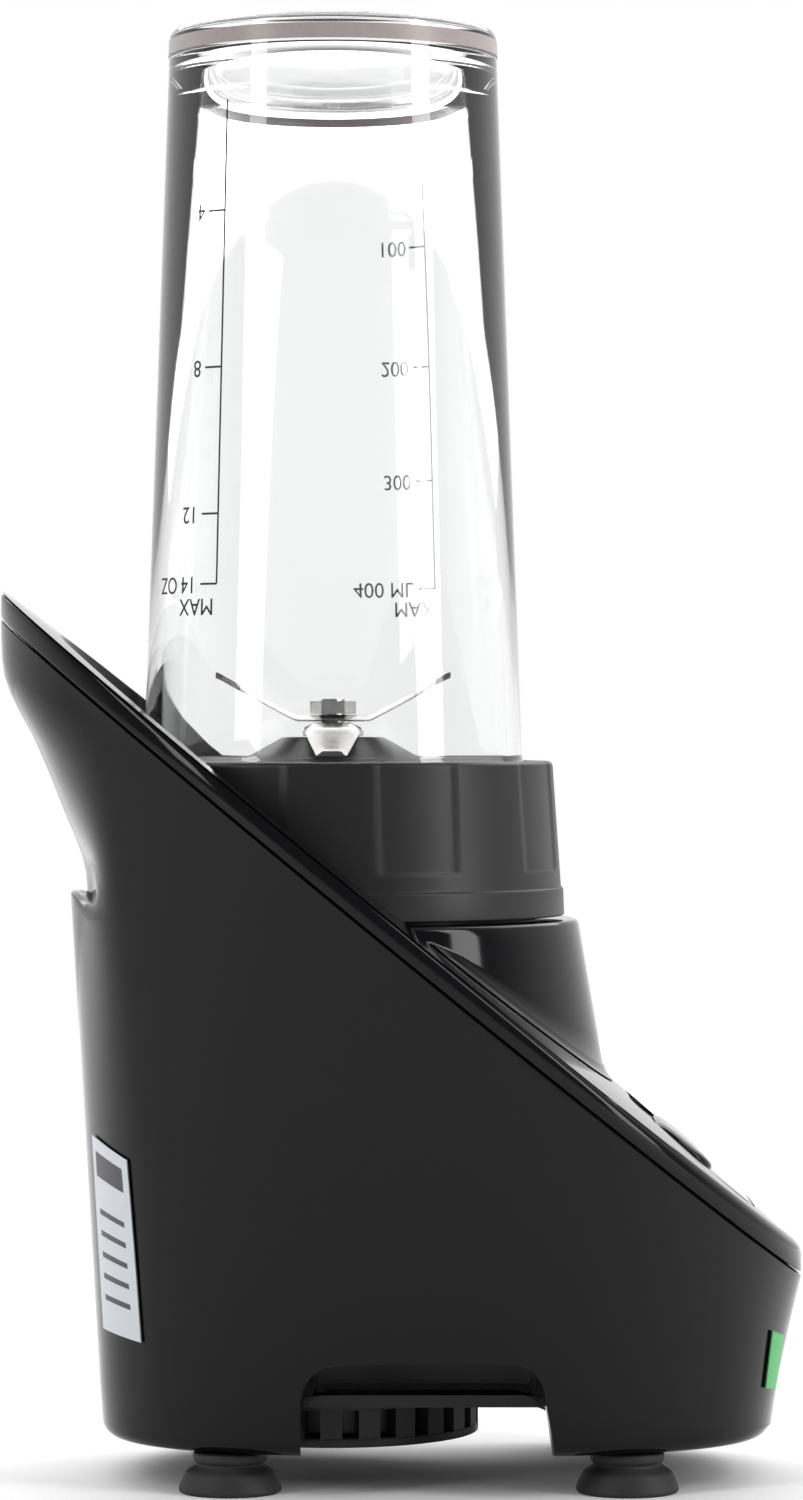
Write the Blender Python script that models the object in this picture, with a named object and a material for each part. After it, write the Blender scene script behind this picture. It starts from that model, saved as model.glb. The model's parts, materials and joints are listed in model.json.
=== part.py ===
"""Countertop personal blender: motor base, screw-on blade holder and inverted cup.

Sizes are in millimetres and become metres when a mesh is made. +X is the front, +Z is up,
and the origin is on the floor under the middle of the sloping top cover.
"""

import math

import bmesh
import bpy
from mathutils import Vector

for old in list(bpy.data.objects):
    bpy.data.objects.remove(old, do_unlink=True)

MM = 0.001
GAP = 0.3

# Motor base
BASE_Z = 8.6
WALL = 2.6
FOOT_OUTLINE = (71.0, 47.0, 2.6)
FOOT_OUTLINE_X = 7.4
COVER_OUTLINE = (85.4, 64.0, 1.85)
SEAM_Z = 111.6
SLOPE = math.radians(39.3)
BAND = 6.0
CROWN = 3.0

# Cup, which everything on its axis is sized from
AXIS_X = -14.6
CUP_MOUTH_R = 40.3
CUP_TAPER = 5.6
CUP_END_R = CUP_MOUTH_R - CUP_TAPER
CUP_HEIGHT = 168.6
CUP_WALL = 2.8
CUP_END = 6.0
CUP_CORNER = 3.0
NECK_R = CUP_MOUTH_R + 0.3

# Tower and its well
SEAT_Z = 117.5
WELL_DEPTH = 17.0
WELL_FLOOR_Z = SEAT_Z - WELL_DEPTH
WELL_FLOOR = 2.5
WELL_WALL = 3.0
SEAT_RIM = 3.0
SEAT_SKIRT = 33.5
SEAT_SPREAD = 5.8
RECESS_CLEARANCE = 0.4
RECESS_LEAN = 0.149
RECESS_SPREAD = 2.5
RECESS_WALL = 1.2
HORN_CLEARANCE = 0.2

# Blade holder
COLLAR_GAP = 0.8
COLLAR_HEIGHT = 32.8
COLLAR_BAND = 5.7
COLLAR_LEDGE = 0.7
GRIPS = 8
GRIP_TURN = 19.0
GRIP_DEPTH = 0.7
CHANNEL_DEPTH = 15.0
HOLDER_WALL = 3.0
CHANNEL_R = NECK_R + 2.4
PLATEAU_R = CUP_MOUTH_R - CUP_WALL - 0.5
COLLAR_TOP_R = CHANNEL_R + 3.8
COLLAR_R = COLLAR_TOP_R + 2.5
SKIRT_R = CHANNEL_R - 0.6
SKIRT_INNER_R = SKIRT_R - 2.6
WELL_R = SKIRT_R + 0.6
SEAT_R = COLLAR_R + 2.9
RECESS_R = COLLAR_R + RECESS_CLEARANCE
COLLAR_Z = SEAT_Z + COLLAR_GAP
COLLAR_TOP_Z = COLLAR_Z + COLLAR_HEIGHT
CHANNEL_Z = COLLAR_TOP_Z - CHANNEL_DEPTH
PLATEAU_Z = COLLAR_TOP_Z - 1.1
CEILING_Z = PLATEAU_Z - 3.5
SKIRT_Z = WELL_FLOOR_Z + 3.5
CUP_MOUTH_Z = CHANNEL_Z + 2.3
CUP_TOP_Z = CUP_MOUTH_Z + CUP_HEIGHT

# Blades
SHAFT_R = 2.5
SHAFT_BORE = SHAFT_R + GAP
BUSH_R = SHAFT_R + 2.5
BOSS_RISE = 6.5
BOSS_Z = PLATEAU_Z + BOSS_RISE
BOSS_R = 22.0
BOSS_TOP_R = BUSH_R + 5.7
HUB_R = 12.0
HUB_Z = WELL_FLOOR_Z + 14.5
BLADE_Z = BOSS_Z + 1.8
BLADE_THICKNESS = 1.4
BLADE_REACH = 25.0
BLADE_HALF_WIDTH = 6.0
NUT_HEIGHT = 2.7

# Drive
SEAL_R = 9.0
SEAL_HEIGHT = 2.6
COUPLING_R = 10.0
COUPLING_Z = WELL_FLOOR_Z + 0.9
COUPLING_HEIGHT = 3.1
DOG_INNER = 5.4
DOG_OUTER = 9.2
DOG_REACH = 5.2
DRIVEN_Z = HUB_Z - 4.8
MOTOR_SHAFT_TOP_Z = WELL_FLOOR_Z + 6.8

# Motor
STATOR = (48.0, 74.0)
STATOR_R = 29.0
POLE_R = 15.4
ARMATURE_R = 14.9
WINDING_R = 13.0
BRACKET_R = 30.0
BRACKET = 3.0
UPPER_BRACKET_Z = 90.5
LOWER_BRACKET_Z = 37.0
BEARING_R = 8.3
BEARING_REACH = 1.5
BRUSH_Z = 83.0
COMMUTATOR_R = 8.0
FAN_R = 26.0
FAN_Z = 25.0
FAN_HEIGHT = 8.4
MOUNT_R = 5.0
MOUNT_X = 36.0

# Interlock
PIN_R = 1.2
PIN_Y = (SKIRT_R + SKIRT_INNER_R) / 2
PIN_FLANGE_R = 2.6
PIN_FLANGE_Z = WELL_FLOOR_Z - 8.5
INTERLOCK_SWITCH_Z = PIN_FLANGE_Z - 10.0
SWITCH_HEIGHT = 12.0
SPRING_TURNS = 4
SPRING_R = 1.9
SPRING_WIRE_R = 0.35

# Underside
PLATE_Z = 18.0
PLATE = 2.5
ARCH_BACK_X = -20.7
ARCH_FRONT_X = 32.4
ARCH_TOP_Z = 27.0
ARCH_DEPTH = 9.0
ARCH_CORNER = 6.0
DRUM_R = 31.0
DRUM_BORE_R = 20.5
DRUM_SLOTS = 12
FOOT_R = 10.75
FOOT_HOLLOW_R = 8.4
FOOT_HOLLOW = 1.8
FOOT_NECK_R = 7.7
FOOT_STEM_R = 2.2
FOOT_REAR_X = -35.5
FOOT_FRONT_X = 46.8
FOOT_Y = FOOT_OUTLINE[1] - WALL - 11.4
SCREWS = {"front_left": (32.5, 2.8), "front_right": (-32.5, 2.8)}
SCREWS.update({"rear_left": (152, 4.0), "rear_right": (-152, 4.0)})
SCREW_R = 1.5
SCREW_HEAD_R = 2.8
SCREW_BOSS_R = 5.4
SCREW_TOP_Z = 29.0
INLET_ANGLE = math.radians(148)
INLET_RISE = 0.16
INLET_R = 5.6
INLET_BORE_R = 3.0

# Controls
PANEL_X = 61.5
PANEL_LENGTH = 35.0
PANEL_WIDTH = 46.0
PANEL_CORNER = 11.0
PANEL_DEPTH = 3.0
PANEL_SINK = 0.6
BUTTON_LENGTH = 15.0
BUTTON_WIDTH = 33.0
BUTTON_CORNER = 6.0
BUTTON_X = 60.0
BUTTON_TRAVEL = 2.0
BUTTON_STEM_R = 2.0
BUTTON_STEM = 12.0

# Steps round a turned or lofted piece
COLUMNS = 40
TURN_STEPS = 40
SCALES = (0.25, 0.5, 0.7, 0.85, 0.95)

COLOURS = {
    "black_gloss": ((0.012, 0.012, 0.013), 0.12, 0.0),
    "charcoal": ((0.045, 0.045, 0.048), 0.4, 0.0),
    "clear": ((0.85, 0.88, 0.88), 0.05, 0.0),
    "rubber": ((0.02, 0.02, 0.02), 0.75, 0.0),
    "steel": ((0.62, 0.62, 0.6), 0.25, 1.0),
    "laminated": ((0.35, 0.35, 0.37), 0.5, 0.9),
    "copper": ((0.72, 0.33, 0.16), 0.35, 1.0),
    "brass": ((0.75, 0.58, 0.26), 0.3, 1.0),
    "carbon": ((0.05, 0.05, 0.05), 0.8, 0.0),
    "nylon": ((0.75, 0.73, 0.68), 0.5, 0.0),
    "board": ((0.05, 0.25, 0.12), 0.5, 0.0),
    "silver_film": ((0.55, 0.56, 0.58), 0.35, 0.6),
    "green_film": ((0.1, 0.45, 0.12), 0.4, 0.0),
}
LARGE_SHELLS = ("housing", "top_cover", "cup_seat", "cup_seat.tower")


def material(name):
    found = bpy.data.materials.get(name)
    if found:
        return found
    colour, roughness, metallic = COLOURS[name]
    made = bpy.data.materials.new(name)
    made.use_nodes = True
    shader = made.node_tree.nodes["Principled BSDF"]
    shader.inputs["Base Color"].default_value = (*colour, 1.0)
    shader.inputs["Roughness"].default_value = roughness
    shader.inputs["Metallic"].default_value = metallic
    return made


def place(name, bm, colour, at=(0, 0, 0), tilt=0.0):
    """Makes the bmesh an object at a point in millimetres, turned about Y by tilt."""
    bmesh.ops.remove_doubles(bm, verts=bm.verts, dist=1e-4)
    bmesh.ops.recalc_face_normals(bm, faces=bm.faces)
    bmesh.ops.scale(bm, verts=bm.verts, vec=(MM, MM, MM))
    mesh = bpy.data.meshes.new(name)
    bm.to_mesh(mesh)
    bm.free()
    mesh.shade_smooth()
    mesh.set_sharp_from_angle(angle=math.radians(35))
    mesh.materials.append(material(colour))
    made = bpy.data.objects.new(name, mesh)
    made.location = Vector(at) * MM
    made.rotation_euler = (0, tilt, 0)
    bpy.context.scene.collection.objects.link(made)
    return made


def combine(target, bm, operation, at=(0, 0, 0), tilt=0.0):
    """Adds a Boolean modifier to target with a hidden tool made from the bmesh.

    The exact solver loses or opens the large shells, so those use the manifold one.
    """
    tool = place(f"{target.name}.tool{len(target.modifiers)}", bm, "steel", at, tilt)
    tool.hide_render = True
    tool.display_type = "WIRE"
    modifier = target.modifiers.new(tool.name, "BOOLEAN")
    modifier.object = tool
    modifier.operation = operation
    modifier.solver = "MANIFOLD" if target.name in LARGE_SHELLS else "EXACT"


def cut(target, bm, at=(0, 0, 0), tilt=0.0):
    combine(target, bm, "DIFFERENCE", at, tilt)


def add(target, bm, at=(0, 0, 0), tilt=0.0):
    combine(target, bm, "UNION", at, tilt)


def turned(profile, steps=16, ring=False):
    """Turns (radius, height) points about Z. A ring's profile closes on itself."""
    bm = bmesh.new()
    points = [bm.verts.new((radius, 0, height)) for radius, height in profile]
    edges = [bm.edges.new(pair) for pair in zip(points, points[1:])]
    if ring:
        edges.append(bm.edges.new((points[-1], points[0])))
    bmesh.ops.spin(
        bm,
        geom=points + edges,
        cent=(0, 0, 0),
        axis=(0, 0, 1),
        angle=math.tau,
        steps=steps,
        use_merge=True,
    )
    ends = [] if ring else [profile[0], profile[-1]]
    for radius, height in ends:
        if radius > 0:
            rim = [e for e in bm.edges if e.is_boundary and abs(e.verts[0].co.z - height) < 1e-5]
            bmesh.ops.contextual_create(bm, geom=rim)
    return bm


def cylinder(radius, low, high, steps=16):
    return turned([(radius, low), (radius, high)], steps)


def tube(inner, outer, low, high, steps=16):
    return turned([(inner, low), (outer, low), (outer, high), (inner, high)], steps, ring=True)


def hex_nut(radius, low, high):
    """A nut on the shaft. Its bore is six-sided too, so its flats clear the shaft."""
    return tube(SHAFT_BORE / math.cos(math.pi / 6), radius, low, high, 6)


def loft(rings, loop=False):
    """Skins rings of equal point counts. Open ends are capped."""
    bm = bmesh.new()
    rows = [[bm.verts.new(point) for point in ring] for ring in rings]
    pairs = list(zip(rows, rows[1:]))
    if loop:
        pairs.append((rows[-1], rows[0]))
    for lower, upper in pairs:
        for i in range(len(lower)):
            j = (i + 1) % len(lower)
            bm.faces.new((lower[i], lower[j], upper[j], upper[i]))
    if not loop:
        bm.faces.new(rows[0])
        bm.faces.new(rows[-1])
    return bm


def prism(outline, low, high):
    return loft([[(x, y, z) for x, y in outline] for z in (low, high)])


def block(x, y, z):
    """A box from pairs of low and high limits."""
    corners = [(x[0], y[0]), (x[1], y[0]), (x[1], y[1]), (x[0], y[1])]
    return prism(corners, *z)


def sector(inner, outer, start, end, low, high, steps=4):
    """An arc-shaped block between two radii and two angles in degrees."""
    angles = [math.radians(start + (end - start) * i / steps) for i in range(steps + 1)]
    rim = [(outer * math.cos(a), outer * math.sin(a)) for a in angles]
    back = [(inner * math.cos(a), inner * math.sin(a)) for a in reversed(angles)]
    return prism(rim + back, low, high)


def rounded(length, width, corner, steps=4):
    """A rectangle about the origin with round corners."""
    points = []
    for quarter, (sx, sy) in enumerate(((1, 1), (-1, 1), (-1, -1), (1, -1))):
        for i in range(steps + 1):
            angle = (quarter + i / steps) * math.pi / 2
            x = sx * (length / 2 - corner) + corner * math.cos(angle)
            y = sy * (width / 2 - corner) + corner * math.sin(angle)
            points.append((x, y))
    return points


def oval_point(shape, angle, inset=0.0):
    """A point of a superellipse (half length, half width, exponent) at a parameter angle."""
    half_length, half_width, exponent = shape
    c, s = math.cos(angle), math.sin(angle)
    x = (half_length - inset) * math.copysign(abs(c) ** (2 / exponent), c)
    y = (half_width - inset) * math.copysign(abs(s) ** (2 / exponent), s)
    return x, y


def seam_height(x):
    return SEAM_Z - math.tan(SLOPE) * x


def cover_height(x, y):
    """The height of the crowned top surface over a point in plan."""
    half_length, half_width, exponent = COVER_OUTLINE
    reach = (abs(x / half_length) ** exponent + abs(y / half_width) ** exponent) ** (1 / exponent)
    return seam_height(x) + BAND + CROWN * (1 - reach**2)


def smooth_step(value, low, high):
    t = min(max((value - low) / (high - low), 0.0), 1.0)
    return t * t * (3 - 2 * t)


def between(profile, at):
    """The value at a place along a profile of (place, value) points."""
    for (start, first), (end, second) in zip(profile, profile[1:]):
        if at <= end:
            return first + (second - first) * (at - start) / (end - start)
    return profile[-1][1]


# How far the wall has spread from the foot outline to the cover outline, by rise.
HORN = [(0, 0), (0.663, 0.312), (0.671, 0.147), (0.712, 0.206), (0.762, 0.372)]
HORN += [(0.811, 0.528), (0.861, 0.706), (0.91, 0.92), (0.935, 0.98), (1, 1)]
HORN_INSIDE = [(0, 0), (0.55, 0.2), (0.61, 0.31), (0.634, 0.315), (0.655, 0.225), (0.69, 0.262)]
HORN_INSIDE += [(0.712, 0.295), (0.762, 0.36), (0.823, 0.46), (0.9, 0.74), (1, 1)]
RISES = [0.03, 0.3, 0.55] + [rise for rise, _ in HORN[1:]]
INSIDE_RISES = [0.07] + [rise for rise, _ in HORN_INSIDE[1:]]


def wall_point(angle, rise, inset=0.0, inside=False):
    """A point of the housing wall: angle round it, rise from its foot to the seam."""
    foot_x, foot_y = oval_point(FOOT_OUTLINE, angle, inset)
    foot_x += FOOT_OUTLINE_X
    seam_x, seam_y = oval_point(COVER_OUTLINE, angle, inset)
    plain = rise**1.25
    horn = between(HORN_INSIDE if inside else HORN, rise)
    spread = plain + (horn - plain) * smooth_step(-math.cos(angle), 0.74, 0.99)
    x = foot_x + (seam_x - foot_x) * spread
    y = foot_y + (seam_y - foot_y) * spread
    return x, y, BASE_Z + (seam_height(seam_x) - BASE_Z) * rise


def wall_at_height(angle, z, inset):
    """A point of the housing wall at a height, below the horn's ledge."""
    seam_x, _ = oval_point(COVER_OUTLINE, angle, inset)
    rise = (z - BASE_Z) / (seam_height(seam_x) - BASE_Z)
    return wall_point(angle, rise, inset)[:2]


def screw_place(corner):
    """Where a base screw stands, a stated distance inside the wall."""
    degrees, inside = SCREWS[corner]
    return wall_at_height(math.radians(degrees), PLATE_Z - 4, WALL + inside)


def wall_ring(rise, inset=0.0, inside=False, columns=COLUMNS):
    return [wall_point(math.tau * i / columns, rise, inset, inside) for i in range(columns)]


def recess_ring(grow, height_of, front_limit=200.0):
    """A level of the recess round the collar. Its back wall leans away from the cup axis."""
    ring = []
    for i in range(40):
        angle = math.tau * i / 40
        x = AXIS_X + RECESS_R * math.cos(angle)
        z = height_of(min(x, front_limit), RECESS_R * math.sin(angle))
        lean = max(z - SEAT_Z - 4, 0.0) * RECESS_LEAN
        spread = min(max(z - SEAT_Z, 0.0) / 14, 1.0) * RECESS_SPREAD
        reach = RECESS_R + grow + (lean if math.cos(angle) < 0 else 0)
        x = min(AXIS_X + reach * math.cos(angle), front_limit)
        ring.append((x, (RECESS_R + spread + grow) * math.sin(angle), z))
    return ring


def recess_levels(grow):
    """The recess from just over the seat to the middle of the cover's skin, grown outwards."""
    low = SEAT_Z + GAP + 0.1
    limit = (SEAM_Z + BAND - WALL / 2 - low - GAP) / math.tan(SLOPE)
    levels = []
    for part in (0.0, 0.12, 0.3, 0.6, 1.0):

        def height_of(x, y, part=part):
            return low + part * (cover_height(x, y) - WALL / 2 - low)

        levels.append(recess_ring(grow, height_of, limit))
    return levels


def on_slope(x, lift=0.0):
    """A point on the cover's centre line at x, raised along the slope's normal."""
    return (x + lift * math.sin(SLOPE), 0, cover_height(x, 0) + lift * math.cos(SLOPE))


def arch_cutter(side):
    """The side opening: its ceiling falls from the wall's face to its inner lip."""
    rings = []
    lip_top = PLATE_Z + PLATE + GAP + 0.5
    outside = 23.0
    outer_top = ARCH_TOP_Z + outside * (ARCH_TOP_Z - lip_top) / ARCH_DEPTH
    for y, top in ((FOOT_OUTLINE[1] + outside, outer_top), (FOOT_OUTLINE[1] - ARCH_DEPTH, lip_top)):
        back, front = ARCH_BACK_X, ARCH_FRONT_X
        corner = ARCH_CORNER
        outline = [(back, 0.0), (back, top - corner)]
        outline += [(back + 0.3 * corner, top - 0.3 * corner), (back + corner, top)]
        outline += [(front - 3 - corner, top), (front - 3 - 0.3 * corner, top - 0.3 * corner)]
        outline += [(front - 3, top - corner), (front, 0.0)]
        rings.append([(x, side * y, z) for x, z in outline])
    return loft(rings)


def make_housing():
    rings = [wall_ring(0.0, 3.0), [(x, y, z + 1.0) for x, y, z in wall_ring(0.0, 1.0)]]
    rings += [wall_ring(rise) for rise in RISES]
    rings += [wall_ring(rise, WALL, True) for rise in reversed(INSIDE_RISES)]
    rings.append(wall_ring(0.0, WALL + 2.0))
    housing = place("housing", loft(rings, loop=True), "black_gloss")
    for side in (1, -1):
        outer = []
        for angle in [math.radians(62 + 7 * i) for i in range(9)]:
            x, y, _ = wall_point(angle, 0.1, WALL / 2)
            outer.append((x, side * y))
        inner_y = side * (FOOT_OUTLINE[1] - ARCH_DEPTH + 0.5)
        outline = outer + [(outer[-1][0], inner_y), (outer[0][0], inner_y)]
        add(housing, prism(outline, PLATE_Z + PLATE + GAP, ARCH_TOP_Z + 4))
    low = PLATE_Z + PLATE + GAP
    for corner, (degrees, _) in SCREWS.items():
        centre = Vector(screw_place(corner))
        add(housing, cylinder(SCREW_BOSS_R, low, SCREW_TOP_Z + 5, 16), (*centre, 0))
        end = Vector(wall_at_height(math.radians(degrees), low + 1, WALL / 2))
        side = (end - centre).orthogonal().normalized() * 1.2
        rib = [tuple(point) for point in (centre - side, end - side, end + side, centre + side)]
        add(housing, prism(rib, low, low + 8))
    for side in (1, -1):
        cut(housing, arch_cutter(side))
    for corner in SCREWS:
        cut(housing, cylinder(SCREW_R + GAP, PLATE_Z, SCREW_TOP_Z + 1, 12), (*screw_place(corner), 0))
    rim_z = SEAT_Z - SEAT_RIM
    rim = cylinder(tower_r(rim_z) + HORN_CLEARANCE, rim_z - HORN_CLEARANCE, SEAT_Z + GAP, TURN_STEPS)
    cut(housing, rim, (AXIS_X, 0, 0))
    cut(housing, loft(recess_levels(RECESS_WALL + HORN_CLEARANCE)))
    inlet = cylinder(INLET_R, -12, 12, 16)
    cut(housing, inlet, at_inlet(inlet))


def at_inlet(bm):
    """Turns the bmesh square to the wall at the cord inlet and returns the inlet's place."""
    x, y, z = wall_point(INLET_ANGLE, INLET_RISE)
    ahead = Vector(wall_point(INLET_ANGLE + 0.05, INLET_RISE))
    behind = Vector(wall_point(INLET_ANGLE - 0.05, INLET_RISE))
    outward = (ahead - behind).cross(Vector((0, 0, 1)))
    turn = outward.to_track_quat("Z", "Y")
    bmesh.ops.rotate(bm, verts=bm.verts, matrix=turn.to_matrix())
    return x, y, z


def cover_rings(inset, lift, scales):
    """Rings of the crowned top surface, from the middle out, then of its rim."""
    rings = []
    for scale in scales:
        ring = []
        for i in range(COLUMNS):
            x, y = oval_point(COVER_OUTLINE, math.tau * i / COLUMNS, inset)
            x, y = x * scale, y * scale
            ring.append((x, y, cover_height(x, y) + lift))
        rings.append(ring)
    return rings


def rim_ring(inset, height):
    ring = []
    for i in range(COLUMNS):
        x, y = oval_point(COVER_OUTLINE, math.tau * i / COLUMNS, inset)
        ring.append((x, y, seam_height(x) + height))
    return ring


def make_top_cover():
    rings = cover_rings(0, 0, SCALES)
    rings += [rim_ring(0.9, BAND + 0.1), rim_ring(0.0, BAND - 0.9), rim_ring(0.0, GAP)]
    rings += [rim_ring(WALL, GAP), rim_ring(WALL, BAND - WALL)]
    rings += list(reversed(cover_rings(WALL, -WALL, SCALES[:-1])))
    cover = place("top_cover", loft(rings), "black_gloss")
    add(cover, loft(recess_levels(RECESS_WALL)))
    above = cover_height(-COVER_OUTLINE[0], 0) + 20
    levels = [recess_ring(0.0, lambda x, y, z=z: z) for z in (SEAT_Z - 1, SEAT_Z + 4, SEAT_Z + 14, above)]
    cut(cover, loft(levels))
    rim = SEAT_R + 0.6 + GAP
    cut(cover, cylinder(rim, SEAT_Z - 5, SEAT_Z + GAP, TURN_STEPS), (AXIS_X, 0, 0))
    well = cylinder(WELL_R + WELL_WALL + GAP, SEAT_Z - 80, SEAT_Z + 40, TURN_STEPS)
    cut(cover, well, (AXIS_X, 0, 0))
    opening = prism(rounded(PANEL_LENGTH, PANEL_WIDTH, PANEL_CORNER), -12, 8)
    cut(cover, opening, on_slope(PANEL_X), SLOPE)


def tower_r(z):
    """The outer radius of the leaning tower at a height."""
    return SEAT_R + SEAT_SPREAD * (SEAT_Z - z) / SEAT_SKIRT


def make_cup_seat():
    """The well that takes the blade holder, its rim, and the tower that stands on the cover."""
    floor = WELL_FLOOR_Z - WELL_FLOOR
    outer = WELL_R + WELL_WALL
    rim = SEAT_Z - SEAT_RIM
    profile = [(SEAL_R + GAP, floor), (outer, floor), (outer, rim), (tower_r(rim), rim), (SEAT_R, SEAT_Z)]
    profile += [(WELL_R, SEAT_Z), (WELL_R, WELL_FLOOR_Z), (SEAL_R + GAP, WELL_FLOOR_Z)]
    seat = on_axis("cup_seat", turned(profile, TURN_STEPS, ring=True), "black_gloss")
    high, low = SEAT_Z - SEAT_RIM + 0.6, SEAT_Z - SEAT_SKIRT - 6
    profile = [(WELL_R + 1, high), (tower_r(high) - 0.02, high), (tower_r(low), low), (WELL_R + 1, low)]
    tower = on_axis("cup_seat.tower", turned(profile, TURN_STEPS, ring=True), "black_gloss")
    tower.hide_render = True
    tower.display_type = "WIRE"
    rings = cover_rings(0, GAP, SCALES) + [rim_ring(0.0, BAND + GAP), rim_ring(0.0, -2 * SEAM_Z)]
    cut(tower, loft(rings))
    join = seat.modifiers.new("tower", "BOOLEAN")
    join.object = tower
    join.operation = "UNION"
    join.solver = "MANIFOLD"
    pin_hole = cylinder(PIN_R + GAP, floor - 20, WELL_FLOOR_Z + 10, 12)
    cut(seat, pin_hole, (AXIS_X, PIN_Y, 0))


def make_controls():
    outline = rounded(PANEL_LENGTH - 2 * GAP, PANEL_WIDTH - 2 * GAP, PANEL_CORNER - GAP)
    tray = prism(outline, -PANEL_SINK - PANEL_DEPTH, -PANEL_SINK)
    panel = place("control_panel", tray, "black_gloss", on_slope(PANEL_X), SLOPE)
    offset = (BUTTON_X - PANEL_X) / math.cos(SLOPE)
    hole = [(x + offset, y) for x, y in rounded(BUTTON_LENGTH + 1, BUTTON_WIDTH + 1, BUTTON_CORNER + 0.5)]
    cut(panel, prism(hole, -9, 4), on_slope(PANEL_X), SLOPE)
    rings = []
    underside = -PANEL_SINK - PANEL_DEPTH - 0.6
    for height, shrink in ((underside, 0.0), (-0.4, 0.0), (0.3, 0.5), (0.7, 2.2), (0.9, 5.0)):
        corner = BUTTON_CORNER - 0.6 * shrink
        outline = rounded(BUTTON_LENGTH - 2 * shrink, BUTTON_WIDTH - 2 * shrink, corner)
        rings.append([(x, y, height) for x, y in outline])
    button = place("power_button", loft(rings), "black_gloss", on_slope(BUTTON_X), SLOPE)
    stem = cylinder(BUTTON_STEM_R, -BUTTON_STEM, underside + 0.2, 12)
    add(button, stem, on_slope(BUTTON_X), SLOPE)
    switch_top = -BUTTON_STEM - BUTTON_TRAVEL - GAP
    switch = block((-10, 10), (-5, 5), (switch_top - SWITCH_HEIGHT, switch_top))
    place("power_switch", switch, "nylon", on_slope(BUTTON_X), SLOPE)


def make_underside():
    outline = [(x, y) for x, y, _ in wall_ring(0.08, WALL + 1.2, True)]
    plate = place("bottom_plate", prism(outline, PLATE_Z, PLATE_Z + PLATE), "charcoal")
    for x in (FOOT_REAR_X, FOOT_FRONT_X):
        for y in (FOOT_Y, -FOOT_Y):
            add(plate, cylinder(4.0, BASE_Z + 4, PLATE_Z + 1, 20), (x, y, 0))
    for side in (1, -1):
        cut(plate, arch_cutter(side))
    for x in (FOOT_REAR_X, FOOT_FRONT_X):
        for y in (FOOT_Y, -FOOT_Y):
            cut(plate, cylinder(FOOT_STEM_R + GAP, 0, PLATE_Z + 20, 16), (x, y, 0))
    for corner in SCREWS:
        cut(plate, cylinder(SCREW_R + GAP, 10, SCREW_TOP_Z, 12), (*screw_place(corner), 0))
    cut(plate, cylinder(DRUM_BORE_R - 0.5, 10, PLATE_Z + 12, 24), (AXIS_X, 0, 0))
    top, wall, web = PLATE_Z - GAP, DRUM_R - 5.0, BASE_Z + 3.4
    ring = [(DRUM_BORE_R, BASE_Z), (DRUM_R, BASE_Z), (DRUM_R, top)]
    ring += [(wall, top), (wall, web), (DRUM_BORE_R, web)]
    drum = on_axis("vent_ring", turned(ring, 24, ring=True), "charcoal")
    for i in range(DRUM_SLOTS):
        slot = block((wall - 1, DRUM_R + 3), (-2.2, 2.2), (BASE_Z + 1.6, PLATE_Z - 2))
        turn = turn_about_z(math.tau * (i + 0.5) / DRUM_SLOTS)
        bmesh.ops.rotate(slot, verts=slot.verts, matrix=turn)
        cut(drum, slot, (AXIS_X, 0, 0))
    profile = [(FOOT_HOLLOW_R - 1.4, FOOT_HOLLOW), (FOOT_HOLLOW_R, 0.0), (FOOT_R - 0.4, 0.0), (FOOT_R, 0.6)]
    profile += [(FOOT_R - 0.6, 4.2), (FOOT_NECK_R + 0.6, 5.2), (FOOT_NECK_R - 0.6, 5.8)]
    profile += [(FOOT_NECK_R, 6.4), (FOOT_NECK_R, BASE_Z - GAP)]
    profile += [(FOOT_STEM_R, BASE_Z - GAP), (FOOT_STEM_R, PLATE_Z + PLATE + 1.5)]
    names = {(FOOT_FRONT_X, 1): "foot_front_left", (FOOT_FRONT_X, -1): "foot_front_right"}
    names.update({(FOOT_REAR_X, 1): "foot_rear_left", (FOOT_REAR_X, -1): "foot_rear_right"})
    for (x, side), name in names.items():
        place(name, turned(profile, 20), "rubber", (x, side * FOOT_Y, 0))
    for corner in SCREWS:
        under = PLATE_Z - GAP
        screw = [(SCREW_HEAD_R - 1.0, under - 2.8), (SCREW_HEAD_R, under - 2.1), (SCREW_HEAD_R, under)]
        screw = turned(screw + [(SCREW_R, under), (SCREW_R, SCREW_TOP_Z)], 12)
        place(f"base_screw_{corner}", screw, "steel", (*screw_place(corner), 0))


def turn_about_z(angle):
    return Vector((math.cos(angle), math.sin(angle), 0)).to_track_quat("X", "Z").to_matrix()


def wall_patch(name, angles, rises, colour, thickness=0.4):
    """A thin film on the housing wall between two angles and two rises."""
    columns, rows = 6, 3
    bm = bmesh.new()
    sheets = []
    for offset in (GAP, GAP + thickness):
        sheet = []
        for j in range(rows + 1):
            rise = rises[0] + (rises[1] - rises[0]) * j / rows
            row = []
            for i in range(columns + 1):
                angle = math.radians(angles[0] + (angles[1] - angles[0]) * i / columns)
                row.append(bm.verts.new(wall_point(angle, rise, -offset)))
            sheet.append(row)
        sheets.append(sheet)
    inner, outer = sheets
    for j in range(rows):
        for i in range(columns):
            bm.faces.new((inner[j][i], inner[j][i + 1], inner[j + 1][i + 1], inner[j + 1][i]))
            bm.faces.new((outer[j][i], outer[j][i + 1], outer[j + 1][i + 1], outer[j + 1][i]))
    rim = [(0, i) for i in range(columns)] + [(j, columns) for j in range(rows)]
    rim += [(rows, i) for i in range(columns, 0, -1)] + [(j, 0) for j in range(rows, 0, -1)]
    for (j, i), (q, p) in zip(rim, rim[1:] + rim[:1]):
        bm.faces.new((inner[j][i], inner[q][p], outer[q][p], outer[j][i]))
    place(name, bm, colour)


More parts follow.
